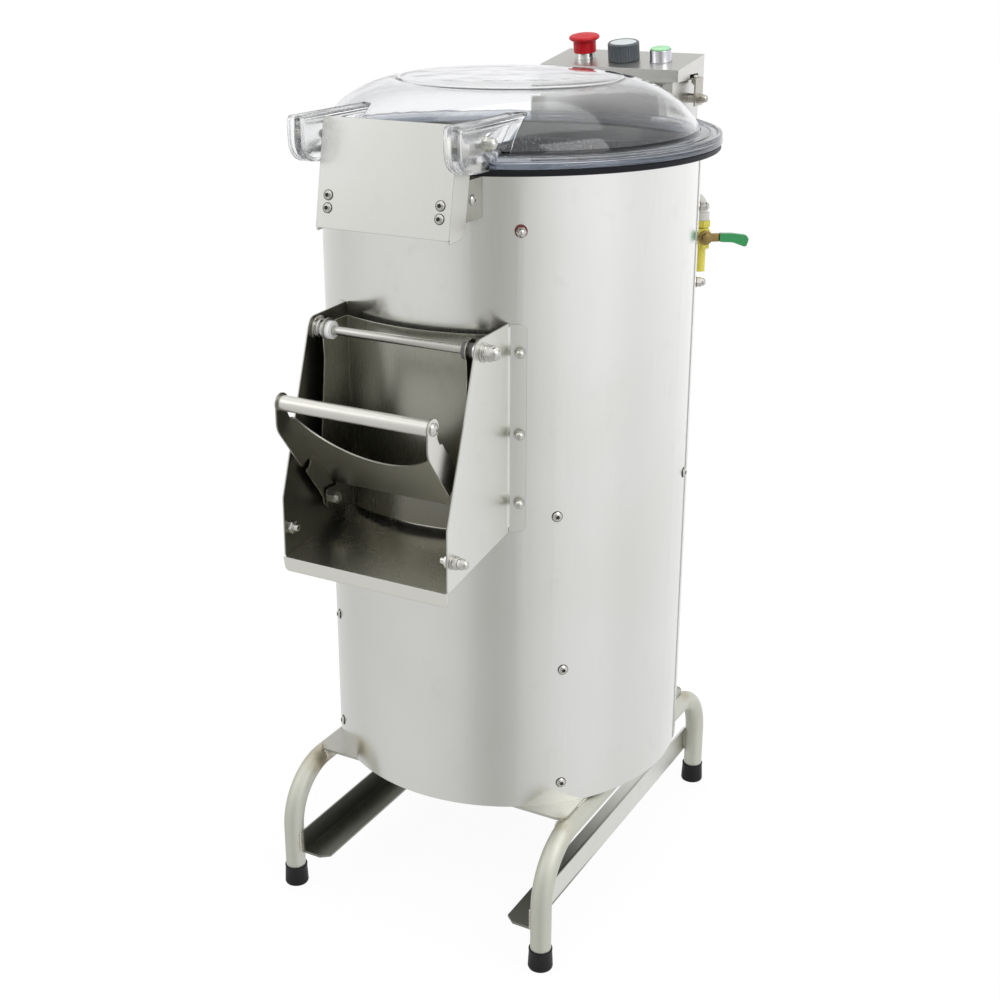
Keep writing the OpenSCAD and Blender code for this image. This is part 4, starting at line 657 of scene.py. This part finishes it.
# angles in degrees; the seams are at the plate's corners, along the tubes' crowns and beside the rails
weldLook = {"radius": 0.0019, "tubeX": 0.176, "tubeZ": 0.1518, "tubeRadius": 0.0125, "clear": 0.0003,
            "cornerY": 0.1812, "cornerStep": 0.0004, "rearShift": 0.0015, "arcAngles": range(72, -4, -15),
            "crownX": 0.1757, "crownZ": 0.1648, "stitches": (0.150, 0.060), "stitch": 0.024,
            "railX": 0.1638, "railFrom": 0.050, "railTo": 0.077, "legMiddle": -0.005, "legReach": 0.239,
            "seam": 0.0042}


def makeWelds(look):
    mesh = bmesh.new()
    r, reach = look["radius"], look["tubeRadius"] + look["clear"]
    for side in (-1, 1):
        for end in (-1, 1):
            # round the inner shoulder of the tube under each corner of the plate
            arc = []
            for step, degrees in enumerate(look["arcAngles"]):
                angle = math.radians(degrees)
                y = end * (look["cornerY"] + step * look["cornerStep"]) - look["rearShift"] * (end > 0)
                arc.append((side * (look["tubeX"] - reach * math.cos(angle)), y,
                            look["tubeZ"] + reach * math.sin(angle)))
            layWeld(mesh, arc, r)
            # stitches along the crown, at the plate's edge
            for start in look["stitches"]:
                layWeld(mesh, [(side * look["crownX"], end * y, look["crownZ"])
                               for y in (start, start - look["stitch"])], r * 0.9)
            # upright seams on both sides of the joint between rail and leg
            middle = look["legMiddle"] + end * look["legReach"]
            for y in (middle + end * look["seam"], middle - end * look["seam"]):
                layWeld(mesh, [(side * look["railX"], y, z) for z in (look["railFrom"], look["railTo"])],
                        r * 0.85)
    finishPiece(mesh, "frameWelds", "weldSteel", "frame", 80)


makeWelds(weldLook)

# lengths in millimetres; heights count from the lid's flange
lidLook = {"base": 934.4, "dome": 218.0, "edge": 243.5, "plateau": 135.0, "rise": 58.0, "wall": 4.0,
           "earIn": 82.5, "earOut": 102.5, "earFront": -293.0, "earTop": 39.6, "earWall": 2.6, "earCorner": 5,
           "earSunk": 1.5, "chinReach": 24, "chinDrop": 23, "chinTop": 14, "earRound": 0.003, "steps": 192}


def bezier(a, b, c, d, t):
    s = 1 - t
    return tuple(s * s * s * a[i] + 3 * s * s * t * b[i] + 3 * s * t * t * c[i] + t * t * t * d[i]
                 for i in (0, 1))


# outside of the dome from the plateau's edge down to its foot
def domeCurve(look, count):
    rim, rise = look["dome"], look["rise"]
    return [bezier((look["plateau"], rise), (look["plateau"] + 36, rise * 0.93), (rim - 7, rise * 0.47),
                   (rim, 0.0), i / count) for i in range(count + 1)]


def domeRadius(look, height):
    curve = domeCurve(look, 40)
    for (r0, z0), (r1, z1) in zip(curve, curve[1:]):
        if z1 <= height <= z0:
            return r0 + (r1 - r0) * (z0 - height) / (z0 - z1)
    return look["dome"]


def lidProfile(look):
    edge, rim, wall = look["edge"], look["dome"], look["wall"]
    outer = [(0, 64.0), (40, 63.95), (70, 63.75), (92, 63.2), (108, 62.5), (118, 61.4), (125, 60.5),
             (128, 60.0), (129.6, 59.6), (130.9, 59.0), (132.0, 58.6), (133.4, 58.3)]
    outer += domeCurve(look, 22)[:-2]
    foot = [(rim - 0.9, 4.2), (rim - 0.2, 2.2), (rim + 0.8, 0.9), (rim + 2.2, 0.2), (rim + 4, 0.0),
            (edge - 15.5, -0.2), (edge - 14.8, 0.7), (edge - 14.0, 1.0), (edge - 13.2, 0.7),
            (edge - 12.5, -0.2), (edge - 7.0, -0.4), (edge - 6.2, 0.7), (edge - 5.2, 1.2),
            (edge - 2.6, 1.2), (edge - 1.4, 0.8), (edge - 0.7, -0.3), (edge - 0.7, -4.6),
            (edge - 0.5, -5.6), (edge, -6.6), (edge, -9.5), (edge - 0.5, -10.0), (edge - 3.5, -10.0),
            (edge - 4.0, -9.5), (edge - 4.0, -5.2), (edge - 4.6, -4.5), (rim + 0.8, -4.5),
            (rim + 0.1, -5.0), (rim, -9.5), (rim - 0.5, -10.0), (rim - 7.5, -10.0), (rim - 8.0, -9.5),
            (rim - 8.0, -2.5), (rim - 7.3, 0.5), (rim - 5.4, 3.5)]
    inner = []
    curve = domeCurve(look, 22)
    for before, here, after in zip(curve, curve[1:], curve[2:]):
        run, fall = after[0] - before[0], after[1] - before[1]
        size = math.hypot(run, fall)
        inner.append((here[0] + fall / size * wall, here[1] - run / size * wall))
    inner = [spot for spot in inner if spot[1] > 4.5]
    inner.reverse()
    ceiling = [(130.5, 54.6), (126, 56.2), (118, 57.4), (108, 58.5), (92, 59.2), (70, 59.75), (40, 59.95),
               (0, 60.0)]
    return [(r / 1000, (z + look["base"]) / 1000) for r, z in outer + foot + inner + ceiling]


# hollow ear: two walls joined over the top and round the front, open below
def addEar(mesh, look, side):
    base, front, top, edge = look["base"], look["earFront"], look["earTop"], look["edge"]
    corner, reach, drop = look["earCorner"], look["chinReach"], look["chinDrop"]
    cornerTurns, chinTurns = (0, 0.52, 1.05, 1.57), (0, 0.31, 0.63, 0.94, 1.26, 1.57)

    def outline(x):
        def back(radius):
            return -math.sqrt(radius * radius - x * x)

        def onDome(z):
            return back(domeRadius(look, z) - look["earSunk"]), z
        points = [onDome(top)]
        points += [(front + corner - corner * math.sin(a), top - corner + corner * math.cos(a))
                   for a in cornerTurns]
        points += [(front + reach - reach * math.cos(a), look["chinTop"] - drop * math.sin(a))
                   for a in chinTurns]
        points += [(back(edge - 1), -9.4), (back(edge - 1), 0.5), (back(look["dome"]), 0.6)]
        return points + [onDome(z) for z in (6, 14, 22, 30)]
    walls = []
    for x in (look["earIn"], look["earOut"]):
        walls.append([mesh.verts.new((side * x / 1000, y / 1000, (z + base) / 1000)) for y, z in outline(x)])
    near, far = walls
    faces = [mesh.faces.new(near), mesh.faces.new(list(reversed(far)))]
    strip = [mesh.faces.new((near[i], far[i], far[i + 1], near[i + 1]))
             for i in range(len(cornerTurns) + len(chinTurns))]
    faces += strip
    bmesh.ops.recalc_face_normals(mesh, faces=faces)
    # of an open shell the operator may choose either side
    if strip[0].normal.z < 0:
        bmesh.ops.reverse_faces(mesh, faces=faces)
    rims = [edge for face in strip for edge in face.edges
            if len(edge.link_faces) == 2 and any(other not in strip for other in edge.link_faces)]
    rounded = bmesh.ops.bevel(mesh, geom=list(set(rims)), offset=look["earRound"], segments=4,
                              affect="EDGES", profile=0.5, material=-1, clamp_overlap=True)
    shell = list({face for face in faces + rounded["faces"] if face.is_valid})
    bmesh.ops.solidify(mesh, geom=shell, thickness=look["earWall"] / 1000)


def makeLid(look):
    mesh = bmesh.new()
    turned(mesh, lidProfile(look), Matrix.Identity(4), look["steps"])
    for side in (-1, 1):
        fresh = bmesh.new()
        addEar(fresh, look, side)
        part = bpy.data.meshes.new("ear")
        fresh.to_mesh(part)
        fresh.free()
        mesh.from_mesh(part)
        bpy.data.meshes.remove(part)
    lid = finishPiece(mesh, "clearLid", "clearLid", "lid", 50)
    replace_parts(lid, "lid")


makeLid(lidLook)

# radius and height above the panel in millimetres
stopLook = {"x": -0.052,
            "sleeve": [(13.4, 8.0), (14.4, 8.0), (14.8, 8.4), (14.9, 12), (14.9, 22.0), (13.4, 22.0),
                       (13.4, 8.0)],
            "collar": [(8.4, 2.0), (12.9, 2.0), (12.9, 8.5), (12.5, 8.9), (8.4, 8.9), (8.4, 2.0)]}
startLook = {"x": 0.056,
             "ring": [(12.8, 3.0), (14.5, 0.3), (14.5, 1.4), (14.0, 2.2), (14.0, 14.8), (13.7, 15.4),
                      (12.9, 15.4), (12.8, 15.2), (12.8, 3.0)],
             "lens": [(0, 18.6), (6, 18.5), (10, 18.1), (11.8, 17.6), (12.5, 16.9), (12.6, 16.2),
                      (12.6, 15.5), (0, 15.5)]}


def panelTurned(name, outline, x, materialName, body):
    mesh = bmesh.new()
    turned(mesh, [(r / 1000, z / 1000) for r, z in outline], onPanel(x), 64)
    finishPiece(mesh, name, materialName, body)


panelTurned("stopSleeve", stopLook["sleeve"], stopLook["x"], "redPlastic", "stop_cap")
panelTurned("stopCollar", stopLook["collar"], stopLook["x"], "chrome", "frame")
panelTurned("startRing", startLook["ring"], startLook["x"], "pearlChrome", "frame")
panelTurned("startLens", startLook["lens"], startLook["x"], "greenPlastic", "start")


def addPrism(mesh, radius, low, high, matrix, sides=6, chamfer=0.0):
    middle = matrix @ Matrix.Translation((0, 0, (low + high) / 2))
    made = bmesh.ops.create_cone(mesh, cap_ends=True, segments=sides, radius1=radius, radius2=radius,
                                 depth=high - low, matrix=middle)
    if chamfer:
        bevelAround(mesh, made["verts"], chamfer)


# spot on the drum: Z stands out from the skin
def onDrum(azimuth, height, radius):
    return (Matrix.Rotation(math.radians(azimuth), 4, "Z") @ Matrix.Translation((0, -radius, height))
            @ Matrix.Rotation(math.pi / 2, 4, "X"))


# hub of the valve lever: round plate, nut and strap
valveLook = {"azimuth": 128, "height": 0.804, "radius": 0.234, "hub": 0.0086, "nut": 0.0062,
             "hubFrom": 0.0172, "nutFrom": 0.0207, "nutTo": 0.0255, "nutChamfer": 0.0005,
             "strap": (0.0034, 0.0098, 0.0165), "strapMiddle": (-0.01893, 0, 0.0088), "chamfer": 0.0004}


def makeValveHub(look):
    frameMatrix = onDrum(look["azimuth"], look["height"], look["radius"])
    aside = frameMatrix @ Matrix.Rotation(-math.pi / 2, 4, "Y")
    mesh = bmesh.new()
    addPrism(mesh, look["hub"], look["hubFrom"], look["nutFrom"], aside, 32, look["chamfer"])
    addPrism(mesh, look["nut"], look["nutFrom"], look["nutTo"], aside, 6, look["nutChamfer"])
    bar = addBar(mesh, look["strap"], look["strapMiddle"])
    bmesh.ops.transform(mesh, matrix=frameMatrix, verts=bar)
    bevelAround(mesh, bar, look["chamfer"])
    finishPiece(mesh, "valveHub", "brass", "valve_handle")


makeValveHub(valveLook)

# painted shade: dark discs in the hex sockets of the button heads, and a dark line round each head;
# "skin" and "face" are where the heads sit on the drum and on the bracket
socketLook = {"socket": 0.0024, "socketFrom": 0.0023, "socketTo": 0.00345,
              "ring": 0.0063, "ringFrom": 0.00002, "ringTo": 0.0005, "skin": 0.2201,
              "bracketTop": (0, -0.256, 0.971), "lean": -10.6, "face": 0.0021,
              "smallRing": 0.0056, "smallFrom": 0.0018, "smallTo": 0.00285}
drumScrews = ([(azimuth, height) for azimuth in (45, 135, -135, -45) for height in (0.196, 0.346)]
              + [(azimuth, 0.5375) for azimuth in (42.4, 100.5, 155, -155, -100.5, -48.3)])
bracketScrews = [(side * 0.0675, depth) for side in (-1, 1) for depth in (0.0797, 0.0929)]


def makeSockets(look):
    mesh = bmesh.new()
    for azimuth, height in drumScrews:
        spot = onDrum(azimuth, height, look["skin"])
        addPrism(mesh, look["socket"], look["socketFrom"], look["socketTo"], spot)
        addPrism(mesh, look["ring"], look["ringFrom"], look["ringTo"], spot, 24)
    bracket = Matrix.Translation(look["bracketTop"]) @ Matrix.Rotation(math.radians(look["lean"]), 4, "X")
    for x, depth in bracketScrews:
        spot = bracket @ Matrix.Translation((x, -look["face"], -depth)) @ Matrix.Rotation(math.pi / 2, 4, "X")
        addPrism(mesh, look["socket"], look["smallFrom"], look["smallTo"], spot)
        addPrism(mesh, look["smallRing"], look["ringFrom"], look["ringTo"], spot, 24)
    finishPiece(mesh, "screwSocketShades", "paintedSocketShade", "frame")


makeSockets(socketLook)

# rod and studs of the chute: cap nuts on the right, flush heads on the left. "plate" and "inside"
# are the side plate's faces; a stack's discs are (sides, radius, face, from, to)
bushing = [(40, 0.014, "inside", -0.0021, -0.0001), (40, 0.011, "inside", -0.0062, -0.0022)]
innerNut = [(6, 0.0075, "inside", -0.0056, -0.0001)]
chuteLook = {
    "plate": 0.1045, "inside": 0.1025, "pastPlate": 0.012, "chamfer": 0.0004, "thin": 0.001,
    "thinChamfer": 0.0002,
    "rod": {"line": (-0.251, 0.742), "radius": 0.005, "leftEnd": 0.0005,
            "right": [(32, 0.0105, "plate", 0.0001, 0.0019), (32, 0.009, "plate", 0.002, 0.0035),
                      (6, 0.0092, "plate", 0.0037, 0.0117)] + bushing,
            "cap": (0.0086, 0.016), "capFrom": 0.0037,
            "left": [(32, 0.0075, "plate", 0.00005, 0.0012)] + bushing},
    "stud": {"line": (-0.318, 0.532), "radius": 0.004, "inner": 0.0912, "leftEnd": 0.0004,
             "right": innerNut + [(32, 0.008, "plate", 0.0001, 0.0017), (6, 0.0075, "plate", 0.0018, 0.0078),
                                  (6, 0.00635, "plate", 0.0079, 0.0134)],
             "cap": (0.006, 0.0115), "capFrom": 0.0079,
             "left": innerNut + [(32, 0.007, "plate", 0.00005, 0.0011)]},
}


def capNutOutline(radius, height):
    flat = height * 0.48
    dome = radius * 0.86
    outline = [(0, height)]
    outline += [(dome * math.sin(a), height - dome + dome * math.cos(a)) for a in (0.3, 0.6, 0.9, 1.2, 1.5)]
    return outline + [(dome, flat), (0, flat)]


def addStack(mesh, look, frameMatrix, discs):
    for sides, radius, face, low, high in discs:
        low, high = look[face] + low, look[face] + high
        chamfer = look["chamfer"] if high - low > look["thin"] else look["thinChamfer"]
        addPrism(mesh, radius, low, high, frameMatrix, sides, chamfer)


def makeChuteFasteners(look):
    plate, chamfer = look["plate"], look["chamfer"]
    for name, key, gone in (("rodNuts", "rod", "rod_nuts"), ("latchStuds", "stud", "latch_studs")):
        part = look[key]
        (y, z), radius, leftEnd = part["line"], part["radius"], plate + part["leftEnd"]
        mesh = bmesh.new()
        right = Matrix.Translation((0, y, z)) @ Matrix.Rotation(math.pi / 2, 4, "Y")
        left = Matrix.Translation((0, y, z)) @ Matrix.Rotation(-math.pi / 2, 4, "Y")
        if key == "rod":
            bar = bmesh.new()
            addPrism(bar, radius, -leftEnd, plate + look["pastPlate"], right, 32, chamfer)
            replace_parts(finishPiece(bar, "doorRod", "rodSteel", "frame"), "door_rod")
        else:
            addPrism(mesh, radius, part["inner"], plate + look["pastPlate"], right, 24, chamfer)
            addPrism(mesh, radius, part["inner"], leftEnd, left, 24, chamfer)
        addStack(mesh, look, right, part["right"])
        cap = [(r, h + plate + part["capFrom"]) for r, h in capNutOutline(*part["cap"])]
        turned(mesh, cap, right, 32)
        addStack(mesh, look, left, part["left"])
        piece = finishPiece(mesh, name, "boltSteel", "frame")
        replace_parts(piece, gone)


makeChuteFasteners(chuteLook)
print("scene: new pieces made")

# studio

floorLook = {"radius": 9.0, "color": (0.98, 0.98, 0.98), "lift": 0.94}


def makeFloor(look):
    mesh = bmesh.new()
    bmesh.ops.create_circle(mesh, cap_ends=True, radius=look["radius"], segments=96)
    data = bpy.data.meshes.new("floor")
    mesh.to_mesh(data)
    mesh.free()
    floor = bpy.data.objects.new("floor", data)
    bpy.context.scene.collection.objects.link(floor)
    material = bpy.data.materials.new("floorWhite")
    material.use_nodes = True
    tree = material.node_tree
    tree.nodes.clear()
    path = addNode(tree, "LightPath").outputs
    seen = calc(tree, "MULTIPLY", path["Is Camera Ray"], look["lift"])
    matt = addNode(tree, "BsdfDiffuse", {"Color": rgba(look["color"])})
    glow = addNode(tree, "Emission", {"Color": (1, 1, 1, 1), "Strength": 1.0})
    mixed = addNode(tree, "MixShader", {0: seen, 1: matt.outputs[0], 2: glow.outputs[0]})
    output = addNode(tree, "OutputMaterial")
    tree.links.new(mixed.outputs[0], output.inputs["Surface"])
    data.materials.append(material)
    floor.visible_glossy = False
    floor.visible_transmission = False


makeFloor(floorLook)

# brightness of the room by compass direction, from behind the object on its left,
# past the front (0.5) and on to the right and back again
roomLook = {
    "ring": [(0.0, 1.15), (0.10, 0.95), (0.223, 0.73), (0.326, 0.787), (0.413, 0.817), (0.489, 0.74),
             (0.516, 0.58), (0.542, 0.46), (0.574, 0.46), (0.588, 0.55), (0.612, 0.73), (0.639, 0.85),
             (0.666, 0.95), (0.703, 1.01), (0.743, 1.05), (0.808, 0.97), (0.89, 1.06), (0.97, 1.12),
             (1.0, 1.15)],
    "scale": 1.4, "low": 0.59, "lowShare": 0.42, "top": 1.1, "behind": 0.6,
}


def makeRoom(look):
    world = bpy.data.worlds.new("room")
    bpy.context.scene.world = world
    world.use_nodes = True
    tree = world.node_tree
    tree.nodes.clear()
    toward = axes(tree, addNode(tree, "TexCoord").outputs["Generated"])
    # angle from straight back (+Y), over the left side, round to the front and right
    angle = calc(tree, "ARCTAN2", toward[0], calc(tree, "MULTIPLY", toward[1], -1.0))
    turn = calc(tree, "ADD", calc(tree, "DIVIDE", angle, 2 * math.pi), 0.5)
    ramp = addNode(tree, "ValToRGB", {"Fac": turn})
    ramp.color_ramp.interpolation = "CARDINAL"
    bands = ramp.color_ramp.elements
    for stop in look["ring"][1:-1]:
        bands.new(stop[0])
    for band, (spot, level) in zip(bands, look["ring"]):
        part = level / look["scale"]
        band.color = (part, part, part * (0.93 + 0.09 * min(1, level)), 1)
    # the ramp's stops end at 1, so its colours are stored low and scaled up here
    full = addNode(tree, "VectorMath", {0: ramp.outputs[0], "Scale": look["scale"]},
                   operation="SCALE").outputs[0]
    lowShare = calc(tree, "MULTIPLY", span(tree, toward[2], -0.1, -0.5), look["lowShare"])
    side = blendColor(tree, lowShare, full, rgba((look["low"],) * 3))
    # a dim band high behind the object, which the control panel mirrors
    rear = calc(tree, "MULTIPLY", span(tree, toward[2], 0.18, 0.34), span(tree, toward[1], 0.2, 0.6))
    side = blendColor(tree, rear, side, rgba((look["behind"],) * 3))
    over = span(tree, toward[2], 0.42, 0.7)
    level = blendColor(tree, over, side, rgba((look["top"],) * 3))
    path = addNode(tree, "LightPath").outputs
    plain = calc(tree, "MAXIMUM", path["Is Camera Ray"], path["Is Transmission Ray"])
    color = blendColor(tree, plain, level, (1, 1, 1, 1))
    shader = addNode(tree, "Background", {"Color": color, "Strength": 1.0})
    output = addNode(tree, "OutputWorld")
    tree.links.new(shader.outputs[0], output.inputs["Surface"])


makeRoom(roomLook)

lampTarget = Vector((0, 0, 0.55))
lampLook = {
    "key": {"place": (1.9, -0.6, 2.2), "size": 1.4, "power": 14.0},
    "fill": {"place": (-1.7, -1.4, 1.7), "size": 1.2, "power": 5.0},
    "over": {"place": (0.1, 0.2, 2.8), "size": 1.6, "power": 10.0},
}
for lampName, lamp in lampLook.items():
    lampData = bpy.data.lights.new(lampName, "AREA")
    lampData.shape = "SQUARE"
    lampData.size = lamp["size"]
    lampData.energy = lamp["power"]
    lampObject = bpy.data.objects.new(lampName, lampData)
    bpy.context.scene.collection.objects.link(lampObject)
    lampObject.location = lamp["place"]
    aim = lampTarget - Vector(lamp["place"])
    lampObject.rotation_euler = aim.to_track_quat("-Z", "Y").to_euler()
    lampObject.visible_camera = False
print("scene: studio made")

bpy.context.scene.view_settings.view_transform = "Standard"
